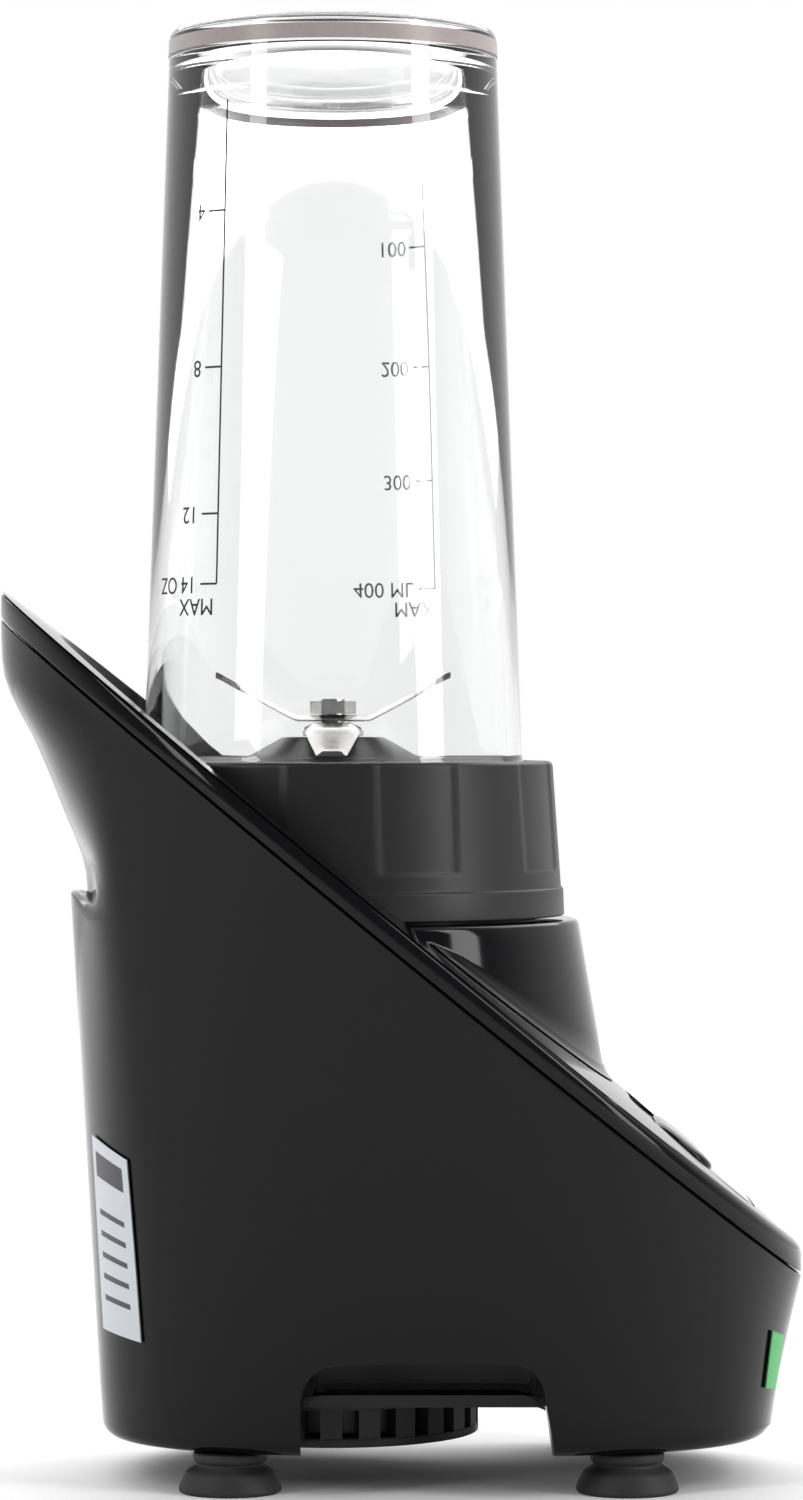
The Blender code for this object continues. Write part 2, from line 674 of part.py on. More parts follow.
def make_inlet():
    """The bushing in the housing's cord inlet, whose bore is open."""
    body, flange = INLET_R - GAP, INLET_R + 1.2
    low, step, high = -7.0, 0.9, 2.2
    profile = [(INLET_BORE_R, low), (body, low), (body, step)]
    profile += [(flange, step), (flange, high), (INLET_BORE_R, high)]
    bm = turned(profile, 20, ring=True)
    place("cord_inlet_bushing", bm, "rubber", at_inlet(bm))


def on_axis(name, bm, colour):
    return place(name, bm, colour, (AXIS_X, 0, 0))


def make_motor():
    low, high = STATOR
    core = on_axis("stator_core", tube(STATOR_R - 5, STATOR_R, low, high, 24), "laminated")
    for start in (-50, 130):
        pole = sector(POLE_R, STATOR_R - 4.4, start, start + 100, low + 1, high - 1, 6)
        add(core, pole, (AXIS_X, 0, 0))
    for name, start in (("field_coil_left", 57), ("field_coil_right", 237)):
        coil = sector(POLE_R + 0.4, STATOR_R - 5.4, start, start + 66, low - 4, high + 4, 5)
        on_axis(name, coil, "copper")
    upper = tube(BEARING_R + GAP, BRACKET_R, UPPER_BRACKET_Z, UPPER_BRACKET_Z + BRACKET, 24)
    upper = on_axis("upper_motor_bracket", upper, "laminated")
    for angle in (45, 135, 225, 315):
        window = sector(12, BRACKET_R - 5, angle - 28, angle + 28, UPPER_BRACKET_Z - 5, UPPER_BRACKET_Z + 8)
        cut(upper, window, (AXIS_X, 0, 0))
    lower = tube(BEARING_R + GAP, BRACKET_R, LOWER_BRACKET_Z, LOWER_BRACKET_Z + BRACKET, 24)
    lower = on_axis("lower_motor_bracket", lower, "laminated")
    arm = (LOWER_BRACKET_Z + 0.4, LOWER_BRACKET_Z + BRACKET - 0.4)
    for reach in ((BRACKET_R - 5, MOUNT_X + 6), (-MOUNT_X - 6, 5 - BRACKET_R)):
        add(lower, block(reach, (-7, 7), arm), (AXIS_X, 0, 0))
    for name, z in (("upper_bearing", UPPER_BRACKET_Z), ("lower_bearing", LOWER_BRACKET_Z)):
        bearing = tube(SHAFT_BORE, BEARING_R, z - BEARING_REACH, z + BRACKET + BEARING_REACH)
        on_axis(name, bearing, "steel")
    for name, x in (("motor_mount_front", AXIS_X + MOUNT_X), ("motor_mount_rear", AXIS_X - MOUNT_X)):
        place(name, cylinder(MOUNT_R, PLATE_Z + PLATE + GAP, LOWER_BRACKET_Z, 16), "rubber", (x, 0, 0))
    for name, side in (("left", 1), ("right", -1)):
        reach = sorted((side * (COMMUTATOR_R + 3), side * (COMMUTATOR_R + 17)))
        holder = block((-4.2, 4.2), reach, (BRUSH_Z - 3.6, BRUSH_Z + 3.6))
        made = on_axis(f"brush_holder_{name}", holder, "brass")
        cut(made, block((-3.2, 3.2), (-40, 40), (BRUSH_Z - 2.6, BRUSH_Z + 2.6)), (AXIS_X, 0, 0))
        reach = sorted((side * (COMMUTATOR_R + GAP), side * (COMMUTATOR_R + 13)))
        brush = block((-2.9, 2.9), reach, (BRUSH_Z - 2.3, BRUSH_Z + 2.3))
        on_axis(f"carbon_brush_{name}", brush, "carbon")


def make_rotor():
    low, high = STATOR
    on_axis("motor_shaft", cylinder(SHAFT_R, FAN_Z - 1.5, MOTOR_SHAFT_TOP_Z), "steel")
    armature = on_axis("armature_core", tube(SHAFT_BORE, ARMATURE_R, low + 1.5, high - 1.5, 24), "laminated")
    for i in range(6):
        slot = block((ARMATURE_R - 3, ARMATURE_R + 3), (-1.2, 1.2), (low - 8, high + 6))
        bmesh.ops.rotate(slot, verts=slot.verts, matrix=turn_about_z(math.tau * i / 6))
        cut(armature, slot, (AXIS_X, 0, 0))
    for name, near, far in (("lower", low + 1.2, low - 5), ("upper", high - 1.2, high + 4)):
        profile = [(SHAFT_BORE, near), (WINDING_R, near), (WINDING_R, (near + far) / 2)]
        profile += [(WINDING_R - 3, far), (SHAFT_BORE, far)]
        on_axis(f"{name}_armature_winding", turned(profile, 16, ring=True), "copper")
    on_axis("commutator", tube(SHAFT_BORE, COMMUTATOR_R, BRUSH_Z - 4.4, BRUSH_Z + 4.4), "copper")
    top = FAN_Z + FAN_HEIGHT
    fan = on_axis("cooling_fan", tube(SHAFT_BORE, FAN_R, top - 1.8, top, 24), "charcoal")
    add(fan, tube(SHAFT_BORE + 0.05, 6.0, FAN_Z, top - 1, 16), (AXIS_X, 0, 0))
    for i in range(8):
        blade = block((5.0, FAN_R - 1), (-0.8, 0.8), (FAN_Z + 0.6, top - 1.2))
        bmesh.ops.rotate(blade, verts=blade.verts, matrix=turn_about_z(math.tau * i / 8 + 0.2))
        add(fan, blade, (AXIS_X, 0, 0))


def make_couplings():
    seal_top = WELL_FLOOR_Z - GAP
    on_axis("splash_seal", tube(SHAFT_R + 0.4, SEAL_R, seal_top - SEAL_HEIGHT, seal_top), "rubber")
    drive_top = COUPLING_Z + COUPLING_HEIGHT
    drive = on_axis("drive_coupling", tube(SHAFT_BORE, COUPLING_R, COUPLING_Z, drive_top), "charcoal")
    driven = on_axis("driven_coupling", tube(SHAFT_BORE, COUPLING_R, DRIVEN_Z, HUB_Z - 0.5), "steel")
    for i in range(4):
        turn = 90 * i
        dog = sector(DOG_INNER, DOG_OUTER, turn - 18, turn + 18, drive_top - 0.5, drive_top + DOG_REACH, 3)
        add(drive, dog, (AXIS_X, 0, 0))
        dog = sector(DOG_INNER, DOG_OUTER, turn + 27, turn + 63, DRIVEN_Z - DOG_REACH, DRIVEN_Z + 0.6, 3)
        add(driven, dog, (AXIS_X, 0, 0))
    on_axis("coupling_nut", hex_nut(SHAFT_R + 2.3, drive_top + GAP, drive_top + 2.5), "steel")


def make_blade_holder():
    bore = BUSH_R + GAP
    band = COLLAR_Z + COLLAR_BAND
    inner = PLATEAU_R - HOLDER_WALL
    profile = [(bore, HUB_Z), (HUB_R, HUB_Z), (HUB_R, CEILING_Z - 2.5)]
    profile += [(HUB_R + 2, CEILING_Z), (inner, CEILING_Z)]
    profile += [(inner, CHANNEL_Z - 3), (SKIRT_INNER_R, CHANNEL_Z - 4), (SKIRT_INNER_R, SKIRT_Z)]
    profile += [(SKIRT_R, SKIRT_Z), (SKIRT_R, COLLAR_Z), (COLLAR_R, COLLAR_Z), (COLLAR_R - 0.2, band)]
    profile += [(COLLAR_R - COLLAR_LEDGE, band + 0.4), (COLLAR_TOP_R, COLLAR_TOP_Z - 0.9)]
    profile += [(COLLAR_TOP_R - 0.9, COLLAR_TOP_Z), (CHANNEL_R, COLLAR_TOP_Z), (CHANNEL_R, CHANNEL_Z)]
    profile += [(PLATEAU_R, CHANNEL_Z), (PLATEAU_R, PLATEAU_Z), (BOSS_R, PLATEAU_Z)]
    profile += [(BOSS_TOP_R, BOSS_Z), (bore, BOSS_Z)]
    holder = on_axis("blade_holder", turned(profile, TURN_STEPS, ring=True), "charcoal")
    lean = (COLLAR_R - COLLAR_LEDGE - COLLAR_TOP_R) / (COLLAR_TOP_Z - band)
    for i in range(GRIPS):
        grip = sector(30, COLLAR_R + 10, -GRIP_TURN / 2, GRIP_TURN / 2, band + 3.5, COLLAR_TOP_Z + 2, 3)
        for vert in grip.verts:
            reach = math.hypot(vert.co.x, vert.co.y)
            if reach < COLLAR_R:
                floor = COLLAR_R - COLLAR_LEDGE - GRIP_DEPTH - lean * (vert.co.z - band)
                vert.co.x *= floor / reach
                vert.co.y *= floor / reach
        bmesh.ops.rotate(grip, verts=grip.verts, matrix=turn_about_z(math.tau * (i + 0.5) / GRIPS))
        cut(holder, grip, (AXIS_X, 0, 0))
    on_axis("blade_bushing", tube(SHAFT_R + 0.05, BUSH_R, HUB_Z, BOSS_Z - 1.5), "brass")
    on_axis("shaft_seal", tube(SHAFT_R + 0.1, BUSH_R, BOSS_Z - 1.2, BOSS_Z - 0.1), "rubber")
    gasket = tube(PLATEAU_R + GAP, CHANNEL_R - GAP, CHANNEL_Z + GAP, CHANNEL_Z + 1.9, TURN_STEPS)
    on_axis("cup_gasket", gasket, "rubber")


def make_blade(name, stations, middle):
    """A bent strip from tip to tip with a square-cut hole for the shaft."""
    rings = []
    mirrored = [(-reach, z, width) for reach, z, width in reversed(stations)]
    for reach, z, width in mirrored + stations:
        high = z + BLADE_THICKNESS
        rings.append([(reach, -width, z), (reach, width, z), (reach, width, high), (reach, -width, high)])
    blade = on_axis(name, loft(rings), "steel")
    cut(blade, cylinder(SHAFT_BORE, middle - 5, middle + 5, 16), (AXIS_X, 0, 0))
    return blade


def make_blades():
    upper_z = BLADE_Z + BLADE_THICKNESS + GAP
    wide = BLADE_HALF_WIDTH
    rise = [(8.0, upper_z, wide), (16.0, upper_z + 4.4, wide - 0.8), (BLADE_REACH, upper_z + 9.5, 1.6)]
    make_blade("upper_blade", rise, upper_z)
    fall = [(8.0, BLADE_Z, wide), (14.0, BLADE_Z - 1.4, wide - 0.4), (BLADE_REACH - 1, BLADE_Z - 6.4, 3.0)]
    lower = make_blade("lower_blade", fall, BLADE_Z)
    lower.rotation_euler = (0, 0, math.pi / 2)
    on_axis("blade_spacer", tube(SHAFT_BORE, BUSH_R + 1.5, BOSS_Z + GAP, BLADE_Z - GAP), "steel")
    nut_z = upper_z + BLADE_THICKNESS + GAP
    on_axis("blade_nut", hex_nut(SHAFT_R + 2.4, nut_z, nut_z + NUT_HEIGHT), "steel")
    low, high = DRIVEN_Z - 1.8, nut_z + NUT_HEIGHT + 0.5
    on_axis("blade_shaft", cylinder(SHAFT_R, low, high), "steel")


def make_cup():
    corner = [CUP_CORNER * (1 - math.cos(math.radians(a))) for a in (0, 30, 60, 90)]
    edge = [CUP_CORNER * math.sin(math.radians(a)) for a in (0, 30, 60, 90)]
    floor = CUP_TOP_Z - CUP_END
    inner_r = CUP_END_R - CUP_WALL
    profile = [(0.0, floor), (inner_r - 4, floor), (inner_r - 0.8, floor - 1.6), (inner_r, floor - 5.0)]
    profile += [(CUP_MOUTH_R - CUP_WALL, CUP_MOUTH_Z), (NECK_R, CUP_MOUTH_Z)]
    profile += [(NECK_R, COLLAR_TOP_Z), (CUP_MOUTH_R, COLLAR_TOP_Z + 1.0)]
    profile += [(CUP_END_R - inward, CUP_TOP_Z - CUP_CORNER + up) for inward, up in zip(corner, edge)]
    profile.append((0.0, CUP_TOP_Z))
    on_axis("cup", turned(profile, TURN_STEPS), "clear")


def make_interlock():
    """The pin that the blade holder's skirt presses, its spring, and its switch."""
    at = (AXIS_X, PIN_Y, 0)
    foot, flange = INTERLOCK_SWITCH_Z + GAP, PIN_FLANGE_Z
    profile = [(PIN_R - 0.3, foot), (PIN_R - 0.3, flange), (PIN_FLANGE_R, flange)]
    profile += [(PIN_FLANGE_R, flange + 1.5), (PIN_R, flange + 1.5), (PIN_R, SKIRT_Z - 0.4)]
    place("interlock_pin", turned(profile, 12), "nylon", at)
    low, high = foot + SPRING_WIRE_R, flange - GAP - SPRING_WIRE_R
    rings = []
    for i in range(SPRING_TURNS * 8 + 1):
        angle = math.tau * i / 8
        z = low + (high - low) * i / (SPRING_TURNS * 8)
        ring = []
        for a in [math.tau * k / 4 for k in range(4)]:
            reach = SPRING_R + SPRING_WIRE_R * math.cos(a)
            ring.append((reach * math.cos(angle), reach * math.sin(angle), z + SPRING_WIRE_R * math.sin(a)))
        rings.append(ring)
    place("interlock_spring", loft(rings), "steel", at)
    switch = block((-10, 10), (-3, 3), (INTERLOCK_SWITCH_Z - SWITCH_HEIGHT, INTERLOCK_SWITCH_Z))
    place("interlock_switch", switch, "nylon", at)


def make_electrics():
    place("circuit_board", block((28, 58), (-17, 17), (24.0, 25.6)), "board")
    place("terminal_block", block((-4, 4), (-5.5, 5.5), (21.0, 31.0)), "nylon", (-44.5, -11.7, 0))


make_housing()
make_top_cover()
make_cup_seat()
make_controls()
make_underside()
wall_patch("rating_label", (199, 217), (0.14, 0.38), "silver_film")
wall_patch("front_badge", (-21, -14), (0.3, 0.62), "green_film")
make_inlet()
make_motor()
make_rotor()
make_couplings()
make_blade_holder()
make_blades()
make_cup()
make_interlock()
make_electrics()
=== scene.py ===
# %% [markdown]
# # A personal blender on suction feet
# The blender is a sloping black motor base, a blade holder that stands in its tower, and a clear cup
# screwed on upside down. The mechanical model is loaded first and stays as it is. This lesson makes
# the surfaces that show: turned pieces, skins between outlines, and finishes made of shader nodes.

# %% Load the mechanical model
import json
import math

import bmesh
import bpy
from mathutils import Matrix, Vector


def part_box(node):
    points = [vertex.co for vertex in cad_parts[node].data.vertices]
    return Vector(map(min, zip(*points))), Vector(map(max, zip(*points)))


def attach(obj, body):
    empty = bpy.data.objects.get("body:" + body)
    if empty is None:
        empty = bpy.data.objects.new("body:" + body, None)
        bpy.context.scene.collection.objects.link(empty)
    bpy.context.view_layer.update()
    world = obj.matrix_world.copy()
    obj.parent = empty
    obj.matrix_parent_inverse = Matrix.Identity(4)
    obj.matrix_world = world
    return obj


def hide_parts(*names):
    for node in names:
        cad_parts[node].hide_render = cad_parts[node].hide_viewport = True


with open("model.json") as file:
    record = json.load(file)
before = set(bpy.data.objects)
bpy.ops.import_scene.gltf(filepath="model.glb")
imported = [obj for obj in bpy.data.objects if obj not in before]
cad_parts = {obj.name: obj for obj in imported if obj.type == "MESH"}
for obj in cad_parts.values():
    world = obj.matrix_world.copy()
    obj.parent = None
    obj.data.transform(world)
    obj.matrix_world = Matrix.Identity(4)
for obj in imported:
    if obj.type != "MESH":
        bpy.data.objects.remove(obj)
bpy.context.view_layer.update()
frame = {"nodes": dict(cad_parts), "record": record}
MM = 0.001

# %% [markdown]
# ## Places and sizes
# Every place is read from the model's own boxes, so a piece lands where its neighbour expects it.
# The cup's axis carries nearly everything, so most places are a radius and a height. The holder's
# box also holds its boss, so the collar's rim has a height of its own.

# %% Read places from the model
cup_low, cup_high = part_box("cup")
holder_low, holder_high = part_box("blade_holder")
cover_low, cover_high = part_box("top_cover")
AXIS_X = (cup_low.x + cup_high.x) / 2
AXIS = Vector((AXIS_X, 0, 0))
SEAT_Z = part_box("cup_seat")[1].z
COLLAR_LOW = SEAT_Z + 0.8 * MM
COLLAR_HEIGHT = 32.8 * MM
HOLDER_TOP = COLLAR_LOW + COLLAR_HEIGHT
BOSS_TOP = holder_high.z
HALF_LENGTH = (cover_high.x - cover_low.x) / 2
HALF_WIDTH = (cover_high.y - cover_low.y) / 2
BASE_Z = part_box("housing")[0].z
print(f"cup axis at x = {AXIS_X:.4f} m, seat at z = {SEAT_Z:.4f} m")

# %% [markdown]
# ## Mesh helpers
# A turned piece is a profile swept round the axis. A skin is a grid of points that closes on itself
# one way or both ways. `soften` rounds a profile's corners, because a real moulding has no sharp
# edge and the small arc is what catches the light.


# %% Mesh helpers
def finished(name, bm, material):
    """Turns a bmesh into a smooth shaded object at the origin."""
    bmesh.ops.remove_doubles(bm, verts=bm.verts, dist=1e-7)
    bmesh.ops.recalc_face_normals(bm, faces=bm.faces)
    mesh = bpy.data.meshes.new(name)
    bm.to_mesh(mesh)
    bm.free()
    mesh.shade_smooth()
    mesh.set_sharp_from_angle(angle=math.radians(40))
    mesh.materials.append(material)
    piece = bpy.data.objects.new(name, mesh)
    bpy.context.scene.collection.objects.link(piece)
    return piece


def skin(rows, around=True, closed=False, caps=False):
    """Faces between rows of points. `around` closes each row and `closed` joins last to first."""
    bm = bmesh.new()
    grid = [[bm.verts.new(point) for point in row] for row in rows]
    pairs = list(zip(grid, grid[1:]))
    if closed:
        pairs.append((grid[-1], grid[0]))
    for first, second in pairs:
        count = len(first) if around else len(first) - 1
        for i in range(count):
            j = (i + 1) % len(first)
            bm.faces.new((first[i], first[j], second[j], second[i]))
    if caps:
        bm.faces.new(grid[0])
        bm.faces.new(grid[-1])
    return bm


def soften(points, radius, steps=4, closed=True):
    """Replaces each corner of a profile by a short curve, no longer than its sides allow."""
    result = []
    count = len(points)
    for i, point in enumerate(points):
        if not closed and i in (0, count - 1):
            result.append(tuple(point))
            continue
        here = Vector(point)
        before = Vector(points[i - 1]) - here
        after = Vector(points[(i + 1) % count]) - here
        reach = min(radius, before.length * 0.45, after.length * 0.45)
        start = here + before.normalized() * reach
        end = here + after.normalized() * reach
        for step in range(steps + 1):
            t = step / steps
            spot = start * (1 - t) ** 2 + here * (2 * t * (1 - t)) + end * t**2
            result.append(tuple(spot))
    return result


def turned(name, profile, material, steps=128, closed=True, at=AXIS):
    """Sweeps (radius, height) points in metres round the vertical through `at`."""
    rows = []
    for radius, height in profile:
        radius = max(radius, 1e-6)
        angles = [math.tau * i / steps for i in range(steps)]
        rows.append([(at.x + radius * math.cos(a), at.y + radius * math.sin(a), height) for a in angles])
    return finished(name, skin(rows, closed=closed), material)


def smooth_step(value, low, high):
    t = min(max((value - low) / (high - low), 0.0), 1.0)
    return t * t * (3 - 2 * t)


def carve(piece, bm, operation="DIFFERENCE"):
    """Applies one Boolean with a throwaway tool and leaves a plain mesh."""
    tool = finished("tool", bm, piece.data.materials[0])
    modifier = piece.modifiers.new("carve", "BOOLEAN")
    modifier.object = tool
    modifier.operation = operation
    modifier.solver = "MANIFOLD"
    graph = bpy.context.evaluated_depsgraph_get()
    result = bpy.data.meshes.new_from_object(piece.evaluated_get(graph))
    piece.modifiers.clear()
    piece.data = result
    bpy.data.objects.remove(tool, do_unlink=True)
    result.shade_smooth()
    result.set_sharp_from_angle(angle=math.radians(40))


# %% [markdown]
# ## Shader helpers
# Long chains of Math nodes are hard to read, so `Value` wraps a socket and lets Python's own
# operators add the nodes. `Finish` starts a material and has one method for every other node.


# %% Shader helpers
class Value:
    """A number socket that can be used in Python sums."""

    def __init__(self, finish, socket):
        self.finish = finish
        self.socket = socket

    def combine(self, operation, first, second):
        return self.finish.node("ShaderNodeMath", {"operation": operation}, {0: first, 1: second})

    def __add__(self, other):
        return self.combine("ADD", self, other)

    def __sub__(self, other):
        return self.combine("SUBTRACT", self, other)

    def __rsub__(self, other):
        return self.combine("SUBTRACT", other, self)

    def __mul__(self, other):
        return self.combine("MULTIPLY", self, other)

    def __gt__(self, other):
        return self.combine("GREATER_THAN", self, other)

    def __lt__(self, other):
        return self.combine("LESS_THAN", self, other)

    __radd__ = __add__
    __rmul__ = __mul__


class Finish:
    """A material under construction round one Principled shader."""

    def __init__(self, name, **constants):
        self.material = bpy.data.materials.new(name)
        self.material.use_nodes = True
        self.tree = self.material.node_tree
        self.shader = self.tree.nodes["Principled BSDF"]
        for key, value in constants.items():
            self.shader.inputs[key.replace("_", " ").title().replace("Ior", "IOR")].default_value = value

    def node(self, kind, settings=None, sockets=None, out=0):
        made = self.tree.nodes.new(kind)
        for key, value in (settings or {}).items():
            setattr(made, key, value)
        for key, value in (sockets or {}).items():
            self.feed(made.inputs[key], value)
        return Value(self, made.outputs[out])

    def feed(self, socket, value):
        if isinstance(value, Value):
            self.tree.links.new(value.socket, socket)
        else:
            socket.default_value = value

    def place(self, scale=(1, 1, 1)):
        """Object coordinates in metres, stretched by scale."""
        spot = self.node("ShaderNodeTexCoord", out=3)
        return self.node("ShaderNodeMapping", {}, {"Vector": spot, "Scale": scale})

    def noise(self, size, detail=3, stretch=(1, 1, 1)):
        """Noise whose features are about `size` metres across."""
        sockets = {"Vector": self.place(stretch), "Scale": 1 / size, "Detail": detail}
        return self.node("ShaderNodeTexNoise", {}, sockets)

    def blend(self, factor, first, second):
        settings = {"data_type": "RGBA"}
        sockets = {0: factor, 6: (*first, 1), 7: (*second, 1)}
        return self.node("ShaderNodeMix", settings, sockets, out=2)

    def set(self, name, value):
        self.feed(self.shader.inputs[name], value)

    def relief(self, height, depth, strength=1.0):
        sockets = {"Strength": strength, "Distance": depth, "Height": height}
        self.set("Normal", self.node("ShaderNodeBump", {}, sockets))


# %% [markdown]
# ## Finishes
# Polished black moulding is nearly black underneath, and all of its look is in the gloss: slight
# flow marks and handling haze vary the roughness. The charcoal holder is spark-eroded, so it has a
# fine even grain. Steel carries its grinding marks, and rubber a dull bloom.


# %% Finishes
def moulding(name, dark, light, rough_low, rough_high, grain, depth, shine=0.5):
    finish = Finish(name, specular_ior_level=shine)
    haze = finish.noise(0.03, 4)
    fine = finish.noise(grain, 2)
    finish.set("Base Color", finish.blend(fine, dark, light))
    finish.set("Roughness", rough_low + (rough_high - rough_low) * haze)
    finish.relief(fine, depth)
    return finish.material


def metal(name, dark, light, rough, stretch, size=0.0006):
    finish = Finish(name, metallic=1.0)
    marks = finish.noise(size, 3, stretch)
    tone = finish.noise(0.012, 2)
    finish.set("Base Color", finish.blend(tone, dark, light))
    finish.set("Roughness", rough + 0.18 * marks)
    finish.relief(marks, 0.00002)
    return finish.material


def banded(name, dark, light, pitch, direction, rough, metallic, depth):
    """Stacked laminations or wound wire: bands of a real pitch with rounded tops."""
    finish = Finish(name, metallic=metallic)
    settings = {"wave_type": "BANDS", "bands_direction": direction}
    bands = finish.node("ShaderNodeTexWave", settings, {"Vector": finish.place(), "Scale": 0.314 / pitch})
    wave = finish.node("ShaderNodeRGBToBW", {}, {0: bands})
    finish.set("Base Color", finish.blend(wave, dark, light))
    finish.set("Roughness", rough + 0.1 * finish.noise(0.002))
    finish.relief(wave, depth)
    return finish.material


def clear_plastic():
    finish = Finish("clear_cup", transmission_weight=1.0, ior=1.49)
    finish.set("Base Color", (0.985, 0.99, 0.99, 1))
    finish.set("Roughness", 0.015 + 0.02 * finish.noise(0.02, 3))
    finish.relief(finish.noise(0.014, 1, (1, 1, 0.08)), 0.00008)
    return finish.material


def label_film():
    """Silver film with plain grey bars where a label would have its lines."""
    finish = Finish("label_film", metallic=0.35)
    spot = finish.node("ShaderNodeTexCoord", out=2)
    axes = finish.node("ShaderNodeSeparateXYZ", {}, {0: spot})
    up = Value(finish, axes.socket.node.outputs[1])
    lines = finish.node("ShaderNodeMath", {"operation": "FRACT"}, {0: up * 9.0})
    inside = (axes > 0.16) * (axes < 0.84) * (up > 0.08) * (up < 0.66)
    bars = (lines > 0.45) * (lines < 0.72) * inside
    block = (axes > 0.12) * (axes < 0.88) * (up > 0.80) * (up < 0.93)
    finish.set("Base Color", finish.blend(bars + block, (0.55, 0.57, 0.6), (0.06, 0.06, 0.07)))
    finish.set("Roughness", 0.3 + 0.1 * finish.noise(0.003))
    return finish.material


FINISHES = {
    "black_gloss": moulding("black_gloss", (0.003, 0.003, 0.004), (0.005, 0.005, 0.006), 0.05, 0.13, 0.0015, 4e-6, 0.2),
    "black_satin": moulding("black_satin", (0.009, 0.009, 0.009), (0.015, 0.015, 0.015), 0.35, 0.5, 0.0006, 2e-5, 0.35),
    "charcoal": moulding("charcoal", (0.010, 0.010, 0.011), (0.017, 0.017, 0.018), 0.36, 0.46, 0.00045, 1.2e-5, 0.3),
    "rubber": moulding("rubber", (0.008, 0.008, 0.008), (0.017, 0.017, 0.017), 0.55, 0.75, 0.0008, 3e-5),
    "nylon": moulding("nylon", (0.6, 0.57, 0.5), (0.7, 0.68, 0.62), 0.4, 0.5, 0.001, 1e-5),
    "carbon": moulding("carbon", (0.02, 0.02, 0.02), (0.05, 0.05, 0.05), 0.7, 0.9, 0.0004, 4e-5),
    "board": moulding("board", (0.01, 0.12, 0.05), (0.03, 0.2, 0.08), 0.25, 0.4, 0.002, 3e-5),
    "green_film": moulding("green_film", (0.02, 0.3, 0.06), (0.03, 0.4, 0.08), 0.3, 0.4, 0.001, 1e-5),
    "steel": metal("turned_steel", (0.5, 0.5, 0.5), (0.62, 0.62, 0.61), 0.16, (1, 1, 12)),
    "blade_steel": metal("blade_steel", (0.26, 0.25, 0.24), (0.36, 0.35, 0.34), 0.14, (0.08, 1, 1)),
    "plated_steel": metal("plated_steel", (0.42, 0.42, 0.44), (0.55, 0.55, 0.56), 0.3, (1, 1, 1)),
    "brass": metal("brass", (0.6, 0.42, 0.16), (0.76, 0.56, 0.25), 0.2, (1, 1, 8)),
    "copper": metal("copper_bars", (0.6, 0.27, 0.14), (0.75, 0.38, 0.22), 0.2, (1, 1, 8)),
    "laminated_steel": banded("laminations", (0.1, 0.1, 0.11), (0.3, 0.3, 0.32), 0.0005, "Z", 0.4, 0.8, 1e-4),
    "copper_wire": banded("windings", (0.25, 0.08, 0.03), (0.65, 0.28, 0.12), 0.0006, "X", 0.25, 0.7, 2e-4),
    "clear_plastic": clear_plastic(),
    "silver_film": label_film(),
}
for part in frame["record"]["subparts"]:
    node = frame["nodes"][part["node"]]
    if not node.material_slots:
        node.data.materials.append(None)
    node.material_slots[0].material = FINISHES[part["material_slot"]]
print(len(FINISHES), "finishes on", len(frame["nodes"]), "model pieces")


def put(piece, body, slot, *nodes):
    """A made piece rides on its body and may stand for model nodes. The slot is not used."""
    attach(piece, body)
    if nodes:
        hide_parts(*nodes)
    return piece


# %% [markdown]
# ## The cup
# The cup is one clear moulding: a thick flat end, a tapering wall and a neck that goes down into the
# blade holder. It is turned from a profile with soft corners, and the wall is real, because clear
# plastic only looks right when light passes an outside and an inside surface.

# %% The cup
WALL = 2.8 * MM
END = 6.0 * MM
NECK_R = cup_high.x - AXIS_X
MOUTH_R = NECK_R - 0.3 * MM
END_R = 34.7 * MM
FLOOR_Z = cup_high.z - END
outside = [(MOUTH_R - WALL, cup_low.z), (NECK_R - 0.02 * MM, cup_low.z)]
outside += [(NECK_R - 0.02 * MM, HOLDER_TOP), (MOUTH_R, HOLDER_TOP + 1.0 * MM)]
outside += [(END_R, cup_high.z - 1.2 * MM), (END_R - 2.4 * MM, cup_high.z)]
outside += [(END_R - 6 * MM, cup_high.z - 0.5 * MM), (0, cup_high.z - 0.7 * MM)]
inside = [(0, FLOOR_Z), (END_R - WALL - 4 * MM, FLOOR_Z), (END_R - WALL, FLOOR_Z - 5 * MM)]
profile = soften(outside, 2.0 * MM, 6, closed=False) + soften(inside, 3.0 * MM, 6, closed=False)
put(turned("clear_cup", profile, FINISHES["clear_plastic"], 192), "cup_body", "clear_plastic", "cup")


def cup_radius(z):
    """The outer radius of the cup's tapering wall at a height."""
    share = (z - HOLDER_TOP) / (cup_high.z - HOLDER_TOP)
    return MOUTH_R + (END_R - MOUTH_R) * share


# The thin grey ring near the cup's end is a painted reflection: the grey seen through the thick clear end is painted as
# an opaque band on the wall.
BAND_LOW, BAND_HIGH = cup_high.z - 6.2 * MM, cup_high.z - 3.0 * MM
painted_reflection_finish = moulding("painted_reflection_grey", (0.30, 0.25, 0.25), (0.36, 0.31, 0.31), 0.3, 0.4, 0.001, 1e-5)
band = [(cup_radius(BAND_LOW) + 0.03 * MM, BAND_LOW), (cup_radius(BAND_LOW) + 0.14 * MM, BAND_LOW)]
band += [(cup_radius(BAND_HIGH) + 0.14 * MM, BAND_HIGH), (cup_radius(BAND_HIGH) + 0.03 * MM, BAND_HIGH)]
put(turned("cup_painted_reflection", band, painted_reflection_finish, 192), "cup_body", "clear_plastic")
print("cup wall", WALL, "m, end", END, "m")

# %% [markdown]
# ## The printed measure
# Two scales are printed on the cup for filling it the other way up, so they read upside down here.
# The height of each mark is worked out from the cup's own inside volume, so the measure is true.
# Numbers start as flat text, become a mesh, and are then wrapped round the wall.

# %% The printed measure
ink = moulding("scale_ink", (0.01, 0.01, 0.01), (0.02, 0.02, 0.02), 0.5, 0.6, 0.001, 1e-5)
INK = 0.03 * MM
OUNCE = 29.57
OUNCE_ANGLE = math.radians(-127.5)
LETTER = 5.0 * MM


